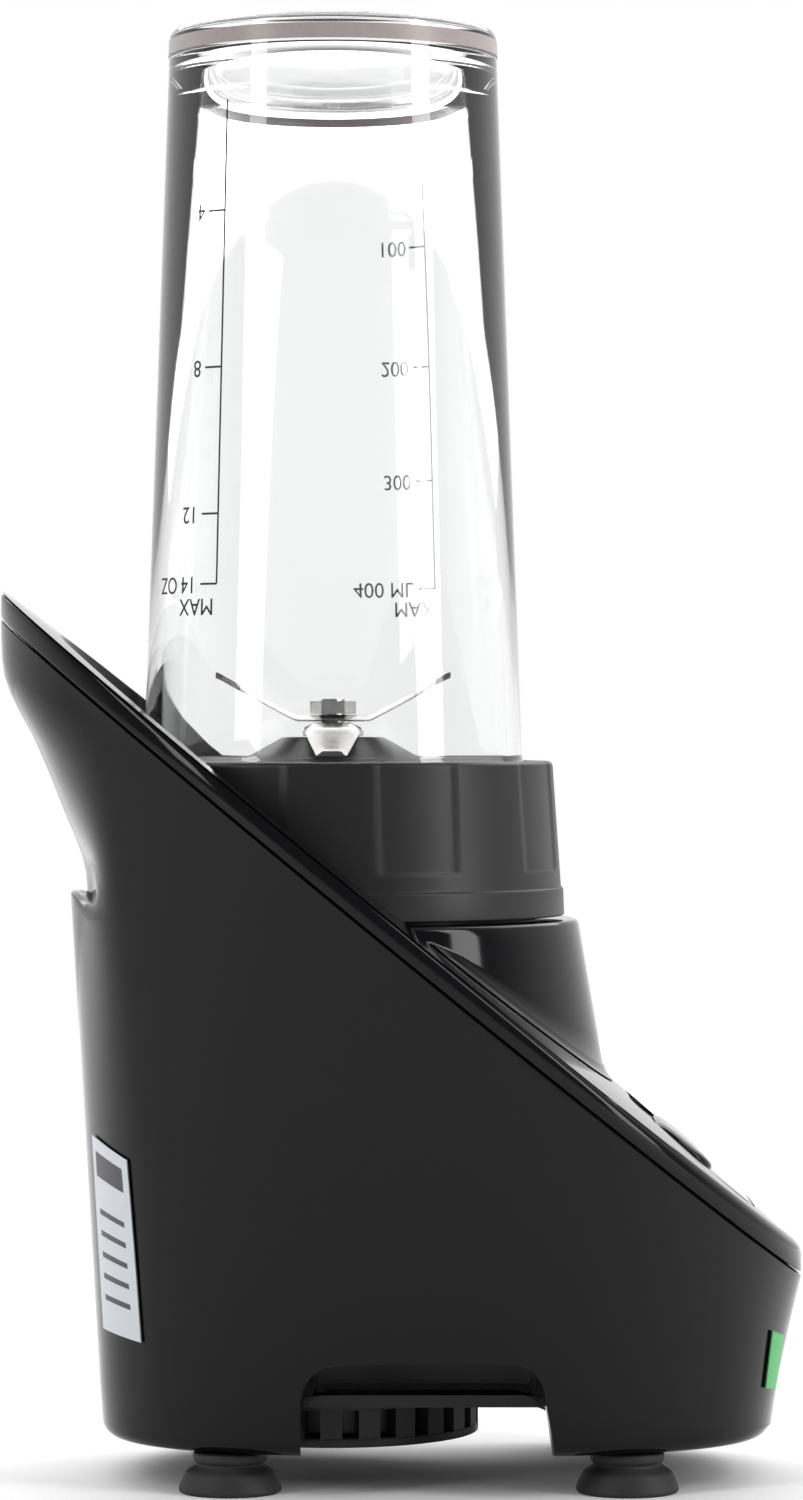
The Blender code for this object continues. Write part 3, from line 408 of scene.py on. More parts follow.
def level_for(volume):
    """The height in the upturned cup that leaves this many millilitres above it."""
    z, held, step = FLOOR_Z, 0.0, 0.1 * MM
    while held < volume * 1e-6:
        z -= step
        held += math.pi * (cup_radius(z) - WALL) ** 2 * step
    return z


def wrapped(name, mesh, angle, z):
    """Bends a flat upside-down mesh round the cup's wall."""
    for vertex in mesh.vertices:
        height = z - vertex.co.y
        radius = cup_radius(height) + 0.03 * MM + vertex.co.z + INK
        turn = angle - vertex.co.x / cup_radius(height)
        vertex.co = (AXIS_X + radius * math.cos(turn), radius * math.sin(turn), height)
    mesh.materials.clear()
    mesh.materials.append(ink)
    piece = bpy.data.objects.new(name, mesh)
    bpy.context.scene.collection.objects.link(piece)
    return put(piece, "cup_body", "clear_plastic")


def lettering(words, align):
    curve = bpy.data.curves.new("words", "FONT")
    curve.body = words
    curve.size = LETTER
    curve.extrude = INK
    curve.align_x = align
    curve.align_y = "CENTER"
    holder = bpy.data.objects.new("words", curve)
    bpy.context.scene.collection.objects.link(holder)
    bpy.context.view_layer.update()
    mesh = bpy.data.meshes.new_from_object(holder.evaluated_get(bpy.context.evaluated_depsgraph_get()))
    bpy.data.objects.remove(holder, do_unlink=True)
    return mesh


def stroke(left, right, low, high):
    """A flat printed bar with enough points to bend."""
    bm = bmesh.new()
    bmesh.ops.create_grid(bm, x_segments=6, y_segments=24, size=0.5)
    bmesh.ops.translate(bm, verts=bm.verts, vec=(0.5, 0.5, 0))
    bmesh.ops.scale(bm, verts=bm.verts, vec=(right - left, high - low, 1))
    bmesh.ops.translate(bm, verts=bm.verts, vec=(left, low, 0))
    thick = bmesh.ops.extrude_face_region(bm, geom=bm.faces[:])
    moved = [item for item in thick["geom"] if isinstance(item, bmesh.types.BMVert)]
    bmesh.ops.translate(bm, verts=moved, vec=(0, 0, INK))
    bmesh.ops.recalc_face_normals(bm, faces=bm.faces)
    mesh = bpy.data.meshes.new("stroke")
    bm.to_mesh(mesh)
    bm.free()
    return mesh


def scale(name, angle, marks, start, side):
    """One scale: a line, a tick at each mark, and its number beyond the tick, on one side of it."""
    last = level_for(marks[-1][0])
    width = 0.22 * MM
    wrapped(f"{name}_line", stroke(-width, width, start - FLOOR_Z, FLOOR_Z - last), angle, FLOOR_Z)
    for volume, words in marks:
        z = level_for(volume)
        label = words.split()[0].lower()
        wrapped(f"{name}_tick_{label}", stroke(*sorted((0, side * 4.6 * MM)), -width, width), angle, z)
        align = "LEFT" if side > 0 else "RIGHT"
        turn = angle - side * 5.4 * MM / END_R
        wrapped(f"{name}_number_{label}", lettering(words, align), turn, z)
    turn = angle - side * 0.6 * MM / END_R
    wrapped(f"{name}_max", lettering("MAX", "LEFT" if side > 0 else "RIGHT"), turn, last - 4.6 * MM)


ounces = [(n * OUNCE, word) for n, word in ((4, "4"), (8, "8"), (12, "12"), (14, "14 OZ"))]
scale("ounces", OUNCE_ANGLE, ounces, 2 * FLOOR_Z - level_for(40), 1)
millilitres = [(100, "100"), (200, "200"), (300, "300"), (400, "400 ML")]
scale("millilitres", OUNCE_ANGLE + math.pi, millilitres, 2 * FLOOR_Z - level_for(48), -1)
print("400 ml mark at", round(level_for(400), 4), "m")

# %% [markdown]
# ## The blade holder
# The holder is turned too, but its outside has eight shallow grip panels. Each point of the outer
# wall is pushed in by a smooth mask of its angle and height, which keeps one clean grid instead of
# eight cuts. The raised boss in the middle carries the bushing.

# %% The blade holder
HOLDER_R = holder_high.x - AXIS_X
GRIP_DEPTH = 0.4 * MM
PANELS = 8


def holder_profile():
    band = COLLAR_LOW + 5.7 * MM
    outer = [(42.4 * MM, holder_low.z), (42.4 * MM, COLLAR_LOW)]
    outer += [(HOLDER_R, COLLAR_LOW), (HOLDER_R - 0.2 * MM, band)]
    outer += [(HOLDER_R - 0.7 * MM, band + 0.5 * MM)]
    top_r = 46.8 * MM
    rise = HOLDER_TOP - 0.8 * MM - band
    for step in range(1, 25):
        share = step / 24
        radius = HOLDER_R - 0.7 * MM + (top_r - HOLDER_R + 0.7 * MM) * share
        outer.append((radius, band + 0.5 * MM + rise * share))
    outer[-1] = (top_r, HOLDER_TOP - 0.7 * MM)
    inner = [(46.1 * MM, HOLDER_TOP), (43.0 * MM, HOLDER_TOP)]
    inner += [(43.0 * MM, 136.3 * MM), (37.0 * MM, 136.3 * MM)]
    inner += [(37.0 * MM, 150.0 * MM), (23.5 * MM, 150.0 * MM), (20 * MM, 151.2 * MM), (12 * MM, BOSS_TOP - 0.7 * MM)]
    inner += [(10.7 * MM, BOSS_TOP), (5.3 * MM, BOSS_TOP), (5.3 * MM, 115 * MM), (12 * MM, 115 * MM)]
    inner += [(12 * MM, 144 * MM), (14 * MM, 146.5 * MM), (34 * MM, 146.5 * MM), (34 * MM, 133.3 * MM)]
    inner += [(39.8 * MM, 132.3 * MM), (39.8 * MM, holder_low.z)]
    return soften(outer + inner, 0.45 * MM, 3)


def grip_mask(angle, z, radius):
    """One inside a grip panel and zero outside, with soft rounded ends."""
    pitch = math.tau / PANELS
    offset = (angle / pitch) % 1.0 - 0.5
    sideways = 1 - smooth_step(abs(offset) * pitch * radius, 8.2 * MM, 9.0 * MM)
    return sideways * smooth_step(z, COLLAR_LOW + 9.2 * MM, COLLAR_LOW + 10.4 * MM)


def make_holder():
    steps = 320
    rows = []
    for radius, z in holder_profile():
        row = []
        for i in range(steps):
            angle = math.tau * i / steps
            pressed = radius
            if radius > 45.5 * MM and z > COLLAR_LOW + 6 * MM:
                pressed -= GRIP_DEPTH * grip_mask(angle, z, radius)
            row.append((AXIS_X + pressed * math.cos(angle), pressed * math.sin(angle), z))
        rows.append(row)
    piece = finished("blade_collar", skin(rows, closed=True), FINISHES["charcoal"])
    return put(piece, "holder", "charcoal", "blade_holder")


make_holder()
print(PANELS, "grip panels")

# %% [markdown]
# ## The blades
# Each blade is a flat steel blank, ground to an edge on both long sides and bent. A row of six points
# across gives the flat top, the ground slope and the thin edge. One blank bends up, the other down.

# %% The blades

def bend(stations, reach):
    """Height and half width along a blade, straight between its stations."""
    for (start, z0, w0), (end, z1, w1) in zip(stations, stations[1:]):
        if reach <= end:
            share = (reach - start) / (end - start)
            return z0 + (z1 - z0) * share, w0 + (w1 - w0) * share
    return stations[-1][1:]


def blade(name, node, stations, crosswise):
    low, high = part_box(node)
    thick = 1.4 * MM
    rows = []
    tip = stations[-1][0]
    count = 36
    for i in range(-count, count + 1):
        reach = tip * i / count
        samples = [bend(stations, min(max(abs(reach) + d * 0.6 * MM, 0), tip)) for d in (-1, 0, 1)]
        z = sum(s[0] for s in samples) / 3
        half = sum(s[1] for s in samples) / 3
        flat = half * 0.62
        section = [(-half, z + 0.1 * MM), (-half, z + 0.25 * MM), (-flat, z + thick), (flat, z + thick)]
        section += [(half, z + 0.25 * MM), (half, z + 0.1 * MM), (flat, z), (-flat, z)]
        if crosswise:
            rows.append([(AXIS_X - side, reach, height) for side, height in section])
        else:
            rows.append([(AXIS_X + reach, side, height) for side, height in section])
    piece = finished(name, skin(rows, caps=True), FINISHES["blade_steel"])
    hole = [[(AXIS_X + 2.8 * MM * math.cos(a), 2.8 * MM * math.sin(a), z) for a in
             [math.tau * k / 32 for k in range(32)]] for z in (low.z - 0.01, high.z + 0.01)]
    carve(piece, skin(hole, caps=True))
    put(piece, "blades", "blade_steel", node)


up_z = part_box("upper_blade")[0].z
down_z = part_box("lower_blade")[1].z - 1.4 * MM
rising = [(0, up_z, 6.0 * MM), (8 * MM, up_z, 6.0 * MM), (16 * MM, up_z + 4.4 * MM, 5.2 * MM)]
rising += [(25 * MM, up_z + 9.5 * MM, 1.6 * MM)]
falling = [(0, down_z, 6.0 * MM), (8 * MM, down_z, 6.0 * MM), (14 * MM, down_z - 1.4 * MM, 5.6 * MM)]
falling += [(24 * MM, down_z - 6.4 * MM, 3.0 * MM)]
blade("rising_blade", "upper_blade", rising, False)
blade("falling_blade", "lower_blade", falling, True)
print("blades reach", 25 * MM, "m")


# %% [markdown]
# ## The outline of the base
# The base is drawn by two outlines seen from above: a rounded foot and a larger egg at the seam,
# which lies on a slope. A wall point moves from one to the other as it rises. At the back the path
# steps in at a ledge and then sweeps out into the horn.

# %% The outline of the base
SLOPE = math.radians(39.3)
SEAM_Z = 111.6 * MM
BAND = 6.0 * MM
CROWN = 3.0 * MM
FOOT = (71.0 * MM, 47.0 * MM, 2.6)
FOOT_X = 7.4 * MM
EGG = (HALF_LENGTH, HALF_WIDTH, 1.85)
COLUMNS = 200
HORN = [(0.0, 0.0), (0.655, 0.308), (0.6625, 0.311), (0.6645, 0.295), (0.6645, 0.235), (0.661, 0.222)]
HORN += [(0.661, 0.165), (0.668, 0.148), (0.69, 0.165), (0.712, 0.206), (0.737, 0.285), (0.762, 0.372)]
HORN += [(0.787, 0.45), (0.811, 0.528), (0.836, 0.615), (0.861, 0.706), (0.885, 0.815), (0.91, 0.912)]
HORN += [(0.93, 0.965), (0.95, 0.988), (0.975, 0.997), (0.992, 1.0)]


def oval(shape, angle, inset=0.0):
    length, width, power = shape
    c, s = math.cos(angle), math.sin(angle)
    x = (length - inset) * math.copysign(abs(c) ** (2 / power), c)
    return x, (width - inset) * math.copysign(abs(s) ** (2 / power), s)


def seam_height(x):
    return SEAM_Z - math.tan(SLOPE) * x


def cover_height(x, y):
    length, width, power = EGG
    reach = (abs(x / length) ** power + abs(y / width) ** power) ** (1 / power)
    return seam_height(x) + BAND + CROWN * (1 - reach**2)


def wall_point(angle, rise, inset=0.0, back=None):
    """A wall point. `back` gives the rise and spread that hold at the very back."""
    amount = smooth_step(-math.cos(angle), 0.74, 0.99)
    spread = rise**1.25
    if back:
        rise += (back[0] - rise) * amount
        spread += (back[1] - spread) * amount
    foot_x, foot_y = oval(FOOT, angle, inset)
    seam_x, seam_y = oval(EGG, angle, inset)
    x = foot_x + FOOT_X + (seam_x - foot_x - FOOT_X) * spread
    y = foot_y + (seam_y - foot_y) * spread
    return x, y, BASE_Z + (seam_height(seam_x) - BASE_Z) * rise


def wall_row(rise, inset=0.0, back=None, lift=0.0):
    row = []
    for i in range(COLUMNS):
        x, y, z = wall_point(math.tau * i / COLUMNS, rise, inset, back)
        row.append((x, y, z + lift))
    return row


print("seam at", round(seam_height(0), 4), "m over the origin")

# %% [markdown]
# ## The housing
# The shell is a skin over these rows, outside and inside, with a rounded lower edge. The side
# openings are cut afterwards: their ceilings fall inwards, so from the side they show a sloping lip.


# %% The housing
def arch_tool(side):
    rows = []
    lip, outer_y = 21.3 * MM, 70 * MM
    for y, top in ((outer_y, 27 * MM + (outer_y - FOOT[1]) * 0.633), (FOOT[1] - 9 * MM, lip)):
        back, front = -20.7 * MM, 32.4 * MM
        corner = 6.5 * MM
        outline = [(back, 0.0)]
        for centre, start in ((back + corner, 180), (front - 3 * MM - corner, 90)):
            for step in range(9):
                a = math.radians(start - 90 * step / 8)
                outline.append((centre + corner * math.cos(a), top - corner + corner * math.sin(a)))
        outline.append((front, 0.0))
        rows.append([(x, side * y, z) for x, z in outline])
    return skin(rows, caps=True)


def arch_block(side):
    outer = []
    for step in range(25):
        angle = math.radians(62 + 56 * step / 24)
        x, y, _ = wall_point(angle, 0.1, 1.3 * MM)
        outer.append((x, side * y))
    inner = side * (FOOT[1] - 8.5 * MM)
    outline = outer + [(outer[-1][0], inner), (outer[0][0], inner)]
    return skin([[(x, y, z) for x, y in outline] for z in (20.8 * MM, 31 * MM)], caps=True)


def make_housing():
    rows = []
    edge = 3.2 * MM
    for step in range(7):
        a = math.radians(90 * step / 6)
        rows.append(wall_row(0.0, edge * (1 - math.sin(a)), lift=edge * (1 - math.cos(a))))
    for step in range(1, 16):
        rise = 0.03 + 0.04 * step
        rows.append(wall_row(rise, back=(rise, 0.311 * rise / 0.66)))
    for index, back in enumerate(HORN[1:]):
        rise = 0.65 + 0.342 * (index + 1) / (len(HORN) - 1)
        rows.append(wall_row(rise, back=back))
    rows.append(wall_row(1.0, 0.0, (1.0, 1.0), -0.4 * MM))
    rows.append(wall_row(1.0, 0.35 * MM, (1.0, 1.0), -0.05 * MM))
    rows.append(wall_row(1.0, 2.3 * MM, (1.0, 1.0), -0.05 * MM))
    inside = [(0.9, 0.76), (0.823, 0.475), (0.762, 0.37), (0.712, 0.285), (0.69, 0.255), (0.655, 0.22)]
    inside += [(0.634, 0.305), (0.61, 0.3), (0.55, 0.2), (0.3, 0.1), (0.09, 0.03)]
    for rise, spread in inside:
        rows.append(wall_row(rise, 2.4 * MM, (rise, spread)))
    rows.append(wall_row(0.0, 4.6 * MM))
    piece = finished("housing_shell", skin(rows, closed=True), FINISHES["black_gloss"])
    for side in (1, -1):
        carve(piece, arch_block(side), "UNION")
    for side in (1, -1):
        carve(piece, arch_tool(side))
    return put(piece, "base", "black_gloss", "housing")


shell = make_housing()
print("housing faces:", len(shell.data.polygons))

# %% [markdown]
# ## The sloping cover
# The cover is a ring: its inner edge is the opening round the holder, its outer edge is the egg.
# One closed section is worked out for each direction from the cup's axis, and the sections are
# skinned together. Behind the cup the inner edge runs down as the wall of the recess.

# %% The sloping cover
RECESS_R = HOLDER_R + 0.4 * MM
WELL_R = 43.0 * MM


def recess_radius(direction, z):
    lean = max(z - SEAT_Z - 4 * MM, 0.0) * 0.149 if math.cos(direction) < 0 else 0.0
    spread = min(max(z - SEAT_Z, 0.0) / 14, MM) * 2.5
    return math.hypot((RECESS_R + lean) * math.cos(direction), (RECESS_R + spread) * math.sin(direction))


def opening_radius(direction):
    """The opening's radius where its wall meets the top surface."""
    radius = RECESS_R
    for _ in range(30):
        x, y = AXIS_X + radius * math.cos(direction), radius * math.sin(direction)
        z = cover_height(x, y)
        hidden = WELL_R + 3.5 * MM
        radius = hidden + (recess_radius(direction, z) - hidden) * smooth_step(z - SEAT_Z, 0, 2 * MM)
    return radius


def cover_section(angle):
    rim_x, rim_y = oval(EGG, angle)
    in_x, in_y = oval(EGG, angle, 2.6 * MM)
    direction = math.atan2(rim_y, rim_x - AXIS_X)
    radius = opening_radius(direction)
    open_x, open_y = AXIS_X + radius * math.cos(direction), radius * math.sin(direction)
    section = []
    for step in range(15):
        share = (step / 14) ** 0.8
        x = open_x + (rim_x - open_x) * (0.02 + 0.955 * share)
        y = open_y + (rim_y - open_y) * (0.02 + 0.955 * share)
        section.append((x, y, cover_height(x, y) - (0.12 * MM if step == 0 else 0)))
    edge = ((0.75, 5.7), (0.35, 5.4), (0.1, 4.9), (0.0, 4.2), (0.0, 0.8), (0.1, 0.5), (0.4, 0.32))
    for inset, height in edge:
        x, y = oval(EGG, angle, inset * MM)
        section.append((x, y, seam_height(x) + height * MM))
    section.append((in_x, in_y, seam_height(in_x) + 0.32 * MM))
    section.append((in_x, in_y, seam_height(in_x) + 3.2 * MM))
    outer_r = radius + 1.2 * MM
    x, y = AXIS_X + outer_r * math.cos(direction), outer_r * math.sin(direction)
    top = cover_height(x, y)
    section.append((x, y, top - 2.6 * MM))
    recessed = top - 3 * MM > SEAT_Z
    low = min(SEAT_Z + 0.45 * MM, top - 2.9 * MM) if recessed else top - 2.9 * MM
    for step in range(1, 5):
        z = top - 2.6 * MM + (low - top + 2.6 * MM) * step / 4
        wall = recess_radius(direction, z) if recessed else radius
        behind = wall + 1.2 * MM
        section.append((AXIS_X + behind * math.cos(direction), behind * math.sin(direction), z))
    for step in range(9):
        z = low + (top - 0.9 * MM - low) * step / 8
        wall = recess_radius(direction, z) if recessed else radius
        section.append((AXIS_X + wall * math.cos(direction), wall * math.sin(direction), z))
    return section


def on_slope(x, lift=0.0):
    return Vector((x + lift * math.sin(SLOPE), 0, cover_height(x, 0) + lift * math.cos(SLOPE)))


def pill(length, width, corner, steps=12):
    points = []
    for quarter, (sx, sy) in enumerate(((1, 1), (-1, 1), (-1, -1), (1, -1))):
        for i in range(steps + 1):
            a = (quarter + i / steps) * math.pi / 2
            points.append((sx * (length / 2 - corner) + corner * math.cos(a), sy * (width / 2 - corner)
                           + corner * math.sin(a)))
    return points


def pill_rows(x, length, width, corner, levels):
    """Rows of a pill lying on the slope: each level has a height and a shrink."""
    turn = Matrix.Rotation(SLOPE, 3, "Y")
    centre = on_slope(x)
    rows = []
    for height, shrink in levels:
        outline = pill(length - 2 * shrink, width - 2 * shrink, max(corner - shrink, 0.8 * MM))
        rows.append([tuple(centre + turn @ Vector((px, py, height))) for px, py in outline])
    return rows


PANEL = (61.5 * MM, 35 * MM, 46 * MM, 11 * MM)
sections = [cover_section(math.tau * i / COLUMNS) for i in range(COLUMNS)]
cover = finished("sloping_cover", skin(sections, closed=True), FINISHES["black_gloss"])
carve(cover, skin(pill_rows(*PANEL, ((-12 * MM, 0), (8 * MM, 0))), caps=True))
put(cover, "base", "black_gloss", "top_cover")
print("cover faces:", len(cover.data.polygons))

# %% [markdown]
# ## The tower
# The tower is the seat of the blade holder. It is turned inside, while outside its cone runs down
# to the sloping cover and turns out into a small hollow fillet. The foot's height is found for each
# direction, so the fillet follows the slope.


# %% The tower
def tower_radius(z):
    return 52.2 * MM + 5.8 * MM * (SEAT_Z - z) / (33.5 * MM)


def foot_height(direction):
    """Where the cone meets the cover in this direction."""
    z = SEAT_Z
    for _ in range(60):
        radius = tower_radius(z)
        surface = cover_height(AXIS_X + radius * math.cos(direction), radius * math.sin(direction)) + 0.3 * MM
        z += (surface - z) * 0.5
    return min(z, SEAT_Z - 3.0 * MM)


def tower_section(direction):
    c, sn = math.cos(direction), math.sin(direction)
    foot = foot_height(direction)
    free = SEAT_Z - 3.0 * MM - foot
    fillet = min(2.0 * MM, free * 0.4)
    well = WELL_R / MM
    path = [(9.3, 98.0), (9.3, 100.5), (well - 0.8, 100.5), (well, 101.3), (well, 116.8)]
    section = [(r * MM, z * MM) for r, z in path]
    section += [(WELL_R + 0.6 * MM, SEAT_Z), (51.3 * MM, SEAT_Z), (51.9 * MM, SEAT_Z - 0.2 * MM)]
    section.append((tower_radius(SEAT_Z - 0.8 * MM), SEAT_Z - 0.8 * MM))
    for step in range(1, 7):
        z = SEAT_Z - 0.8 * MM + (foot + fillet - SEAT_Z + 0.8 * MM) * step / 6
        section.append((tower_radius(z), z))
    base_r = tower_radius(foot)
    level = cover_height(AXIS_X + base_r * c, base_r * sn)
    lift = smooth_step(free, 0, 3 * MM)
    for step in range(1, 8):
        a = math.radians(90 * step / 7)
        radius = base_r + fillet * (1 - math.cos(a))
        slide = (cover_height(AXIS_X + radius * c, radius * sn) - level) * lift
        section.append((radius, foot + slide + fillet * (1 - math.sin(a)) + 0.02 * MM))
    under = min(foot, section[-1][1]) - 0.25 * MM * (1 - lift)
    section.append((WELL_R + 3.0 * MM, under))
    section.append((WELL_R + 3.0 * MM, 98.0 * MM if under > 98.5 * MM else under - 0.2 * MM))
    return [(AXIS_X + radius * c, radius * sn, z) for radius, z in section]


towers = [tower_section(math.tau * i / COLUMNS) for i in range(COLUMNS)]
tower = finished("tower", skin(towers, closed=True), FINISHES["black_gloss"])
put(tower, "base", "black_gloss", "cup_seat")

# %% [markdown]
# ## Panel and button
# The control panel is a shallow tray let into the cover, and the wide button rises through it. Both
# are stacks of the same pill outline, shrinking as they rise, which makes an even rounded edge.

# %% Panel and button
BUTTON = (60.0 * MM, 14.8 * MM, 33 * MM, 6 * MM)


def tray():
    x, length, width, corner = PANEL
    levels = ((-3.5, 0.35), (-1.1, 0.35), (-0.75, 0.5), (-0.6, 0.9), (-0.6, 6.0))
    outside = pill_rows(x, length, width, corner, [(h * MM, i * MM) for h, i in levels[:4]])
    shift = BUTTON[0]
    hole = [(-0.62, 0.0), (-0.8, -0.25), (-3.5, -0.4)]
    inside = pill_rows(shift, BUTTON[1] + 1.0 * MM, BUTTON[2] + 1.0 * MM, 6.5 * MM,
                       [(h * MM, i * MM + 0.4 * MM) for h, i in hole])
    return skin(outside + inside, closed=True)


put(finished("panel_tray", tray(), FINISHES["black_gloss"]), "base", "black_gloss", "control_panel")
levels = [(-4.2, 0.0), (-0.6, 0.0), (-0.15, 0.1), (0.2, 0.35), (0.45, 0.8), (0.65, 1.6), (0.8, 3.0), (0.88, 5.0)]
rows = pill_rows(*BUTTON, [(h * MM, i * MM) for h, i in levels])
button_cap = finished("button_cap", skin(rows, caps=True), FINISHES["black_gloss"])
put(button_cap, "button", "black_gloss", "power_button")

# %% [markdown]
# ## Suction feet
# Each foot is one turned rubber moulding: a thin flared lip below, a waist, and a neck that goes up
# under the base. The lip is hollow underneath, which is what makes it grip the worktop.


# %% Suction feet
def foot_profile(low, high):
    outer = (high.x - low.x) / 2 / MM
    points = [(0.0, 2.6), (6.0, 2.2), (outer - 1.6, 0.0), (outer - 0.3, 0.0), (outer, 0.7), (outer - 0.5, 2.2)]
    points += [(9.2, 4.3), (7.6, 5.3), (7.0, 5.9), (7.7, 6.7), (7.7, 8.3), (2.2, 8.3), (2.2, 21.0), (0.0, 21.0)]
    return soften([(r * MM, z * MM) for r, z in points], 0.5 * MM, 4, closed=False)


for name in ("foot_front_left", "foot_front_right", "foot_rear_left", "foot_rear_right"):
    low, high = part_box(name)
    centre = Vector(((low.x + high.x) / 2, (low.y + high.y) / 2, 0))
    made = turned(f"suction_{name}", foot_profile(low, high), FINISHES["rubber"], 72, False, centre)
    put(made, "base", "rubber", name)

# %% [markdown]
# ## The vent drum
# The drum under the base is a ring with evenly spaced ribs. What repeats is a job for Geometry
# Nodes: a circle of points carries one rib each, turned by its own index, and the copies are made
# real so that the result is a plain mesh.

# %% The vent drum
vent_low, vent_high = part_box("vent_ring")
DRUM_R = (vent_high.x - vent_low.x) / 2
RIBS = 24


def rib_tree():
    tree = bpy.data.node_groups.new("ribs_on_a_circle", "GeometryNodeTree")
    face = tree.interface
    kinds = {"Count": "Int", "Radius": "Float", "Rib": "Vector", "Material": "Material"}
    for label, kind in kinds.items():
        face.new_socket(label, in_out="INPUT", socket_type="NodeSocket" + kind)
    face.new_socket("Geometry", in_out="OUTPUT", socket_type="NodeSocketGeometry")
    add, link = tree.nodes.new, tree.links.new
    given, result = add("NodeGroupInput"), add("NodeGroupOutput")
    circle, rib = add("GeometryNodeMeshCircle"), add("GeometryNodeMeshCube")
    copies, index = add("GeometryNodeInstanceOnPoints"), add("GeometryNodeInputIndex")
    turn, share, spin = add("ShaderNodeMath"), add("ShaderNodeMath"), add("ShaderNodeCombineXYZ")
    real, paint = add("GeometryNodeRealizeInstances"), add("GeometryNodeSetMaterial")
    turn.operation, share.operation = "MULTIPLY", "DIVIDE"
    share.inputs[0].default_value = math.tau
    link(given.outputs["Count"], circle.inputs["Vertices"])
    link(given.outputs["Radius"], circle.inputs["Radius"])
    link(given.outputs["Rib"], rib.inputs["Size"])
    link(given.outputs["Count"], share.inputs[1])
    link(index.outputs[0], turn.inputs[0])
    link(share.outputs[0], turn.inputs[1])
    link(turn.outputs[0], spin.inputs["Z"])
    link(circle.outputs[0], copies.inputs["Points"])
    link(rib.outputs[0], copies.inputs["Instance"])
    link(spin.outputs[0], copies.inputs["Rotation"])
    link(copies.outputs[0], real.inputs[0])
    link(real.outputs[0], paint.inputs["Geometry"])
    link(given.outputs["Material"], paint.inputs["Material"])
    link(paint.outputs[0], result.inputs[0])
    return tree


def make_ribs():
    base = bpy.data.objects.new("vent_ribs", bpy.data.meshes.new("vent_ribs"))
    bpy.context.scene.collection.objects.link(base)
    modifier = base.modifiers.new("ribs", "NODES")
    modifier.node_group = rib_tree()
    sizes = {"Count": RIBS, "Radius": DRUM_R - 1.6 * MM, "Rib": (3.0 * MM, 4.6 * MM, 6.6 * MM)}
    sizes["Material"] = FINISHES["black_satin"]
    for item in modifier.node_group.interface.items_tree:
        if item.in_out == "INPUT":
            modifier[item.identifier] = sizes[item.name]
    graph = bpy.context.evaluated_depsgraph_get()
    base.data = bpy.data.meshes.new_from_object(base.evaluated_get(graph))
    base.modifiers.clear()
    base.data.transform(Matrix.Translation((AXIS_X, 0, vent_low.z + 4.9 * MM)))
    return put(base, "base", "black_satin")


ring = [(20.5 * MM, vent_low.z), (DRUM_R, vent_low.z), (DRUM_R, vent_low.z + 2.0 * MM)]
ring += [(DRUM_R - 4 * MM, vent_low.z + 2.4 * MM), (DRUM_R - 4 * MM, vent_high.z - 1.6 * MM)]
ring += [(DRUM_R, vent_high.z - 1.4 * MM), (DRUM_R, vent_high.z), (26 * MM, vent_high.z), (26 * MM, 12 * MM)]
ring += [(20.5 * MM, 12 * MM)]
drum = turned("vent_drum", soften(ring, 0.4 * MM, 3), FINISHES["black_satin"], 128)
put(drum, "base", "black_satin", "vent_ring")
make_ribs()
print(RIBS, "ribs on the drum")

# %% [markdown]
# ## Films on the wall
# The rating label and the small front mark are thin films that follow the wall. A film is a patch
# of the wall's own surface, raised a little, with its own UV map so that its print follows it.


# %% Films on the wall
def film(name, node, angles, rises, material, slot):
    count = 24
    lifts = (0.35 * MM, 0.62 * MM)
    bm = bmesh.new()
    layer = bm.loops.layers.uv.new("UVMap")
    sheets = []
    for lift in lifts:
        sheet = []
        for j in range(count + 1):
            rise = rises[0] + (rises[1] - rises[0]) * j / count
            turns = [math.radians(angles[0] + (angles[1] - angles[0]) * i / count) for i in range(count + 1)]
            back = (rise, 0.311 * rise / 0.66)
            sheet.append([bm.verts.new(wall_point(turn, rise, -lift, back)) for turn in turns])
        sheets.append(sheet)
    inner, outer = sheets
    for j in range(count):
        for i in range(count):
            for sheet in sheets:
                face = bm.faces.new((sheet[j][i], sheet[j][i + 1], sheet[j + 1][i + 1], sheet[j + 1][i]))
                for loop, (u, v) in zip(face.loops, ((i, j), (i + 1, j), (i + 1, j + 1), (i, j + 1))):
                    loop[layer].uv = (u / count, v / count)
    rim = [(0, i) for i in range(count)] + [(j, count) for j in range(count)]
    rim += [(count, i) for i in range(count, 0, -1)] + [(j, 0) for j in range(count, 0, -1)]
    for (j, i), (q, p) in zip(rim, rim[1:] + rim[:1]):
        bm.faces.new((inner[j][i], inner[q][p], outer[q][p], outer[j][i]))
    put(finished(name, bm, material), "base", slot, node)


film("label", "rating_label", (199, 217), (0.14, 0.38), FINISHES["silver_film"], "silver_film")
film("front_mark", "front_badge", (-21, -14), (0.3, 0.62), FINISHES["green_film"], "green_film")

# %% [markdown]
# ## Studio and camera
# A pale floor and wide soft lights suit a glossy black object: each light shows as a long highlight
# along the rim and the tower. The camera stands level with the middle of the cup, about a metre off.


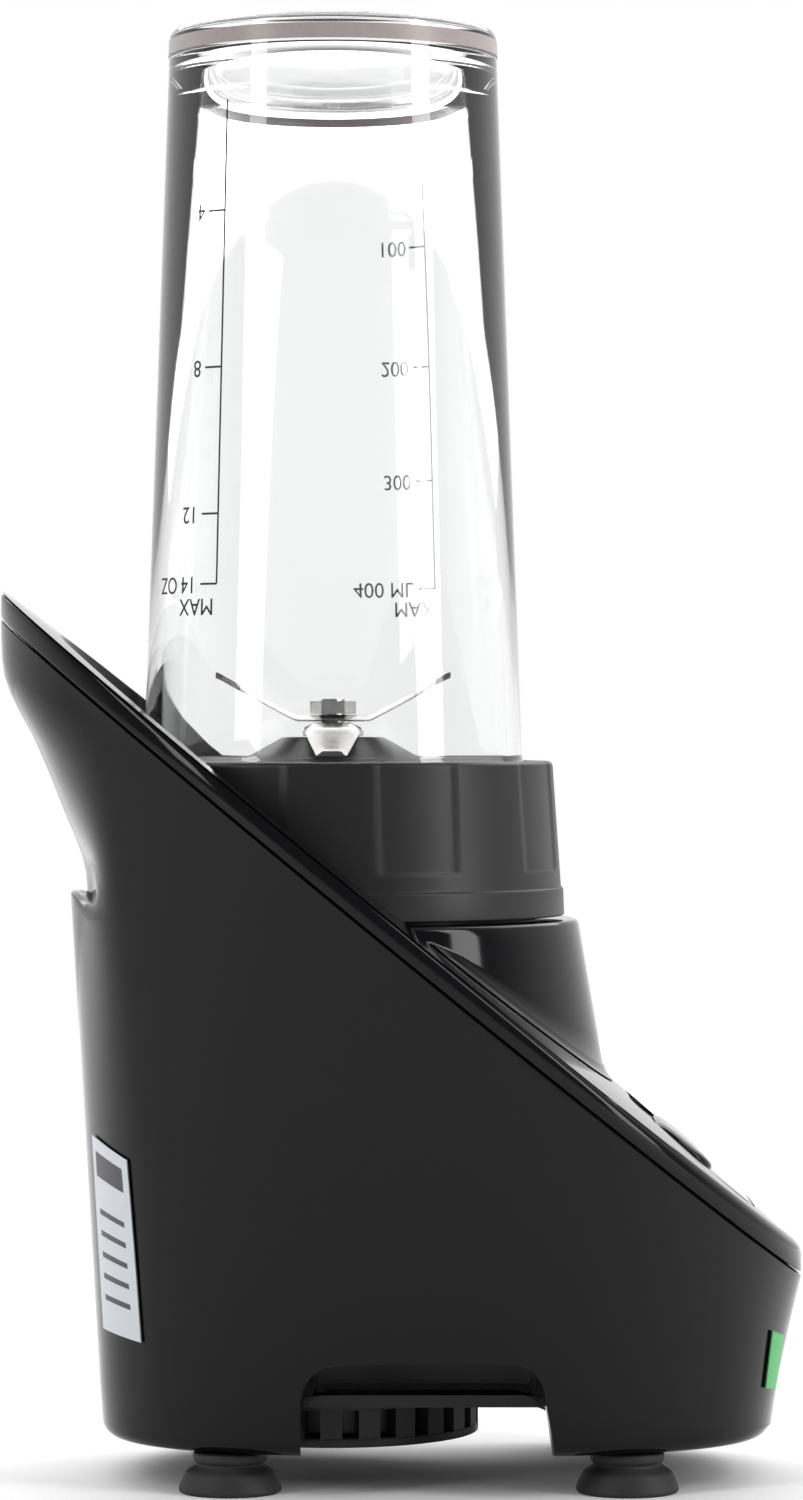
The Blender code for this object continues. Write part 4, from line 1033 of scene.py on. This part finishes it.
# %% Studio and camera
def studio():
    """A white surround behind the object and a dark room in front, so that black stays black."""
    world = bpy.data.worlds.new("studio")
    world.use_nodes = True
    tree = world.node_tree
    add, link = tree.nodes.new, tree.links.new
    back = tree.nodes["Background"]
    back.inputs["Color"].default_value = (1, 1, 1, 1)
    spot, axes, fade = add("ShaderNodeTexCoord"), add("ShaderNodeSeparateXYZ"), add("ShaderNodeMapRange")
    fade.interpolation_type = "SMOOTHSTEP"
    for socket, value in zip(fade.inputs[1:5], (-0.4, 0.4, 0.18, 1.0)):
        socket.default_value = value
    link(spot.outputs["Generated"], axes.inputs[0])
    link(axes.outputs["Y"], fade.inputs[0])
    link(fade.outputs[0], back.inputs["Strength"])
    bpy.context.scene.world = world
    bpy.context.scene.view_settings.view_transform = "Standard"
    bpy.ops.mesh.primitive_plane_add(size=3)
    floor = bpy.context.object
    floor.name = "studio_floor"
    finish = Finish("pale_floor")
    finish.set("Base Color", finish.blend(finish.noise(0.4), (0.84, 0.84, 0.84), (0.87, 0.87, 0.87)))
    finish.set("Roughness", 0.8)
    floor.data.materials.append(finish.material)


def light(name, place, size, power, target=(0, 0, 0.15)):
    lamp = bpy.data.lights.new(name, "AREA")
    lamp.shape = "RECTANGLE"
    lamp.size, lamp.size_y = size
    lamp.energy = power
    holder = bpy.data.objects.new(name, lamp)
    holder.location = place
    holder.rotation_euler = (Vector(target) - Vector(place)).to_track_quat("-Z", "Y").to_euler()
    bpy.context.scene.collection.objects.link(holder)


def camera():
    eye = Vector((0.0, -1.12, 0.160))
    aim = Vector((0.0, 0.0, 0.1534))
    lens = bpy.data.cameras.new("camera")
    lens.sensor_fit = "VERTICAL"
    lens.sensor_height = 36
    lens.lens = 126
    holder = bpy.data.objects.new("camera", lens)
    holder.location = eye
    holder.rotation_euler = (aim - eye).to_track_quat("-Z", "Y").to_euler()
    bpy.context.scene.collection.objects.link(holder)
    bpy.context.scene.camera = holder


studio()
light("left_softbox", (-0.9, -0.7, 0.7), (0.25, 1.2), 7)
light("right_softbox", (1.0, -0.5, 0.6), (0.3, 1.2), 10)
light("top_softbox", (0.0, 1.3, 1.3), (3.0, 1.6), 36, (0, 0.9, 0))
camera()
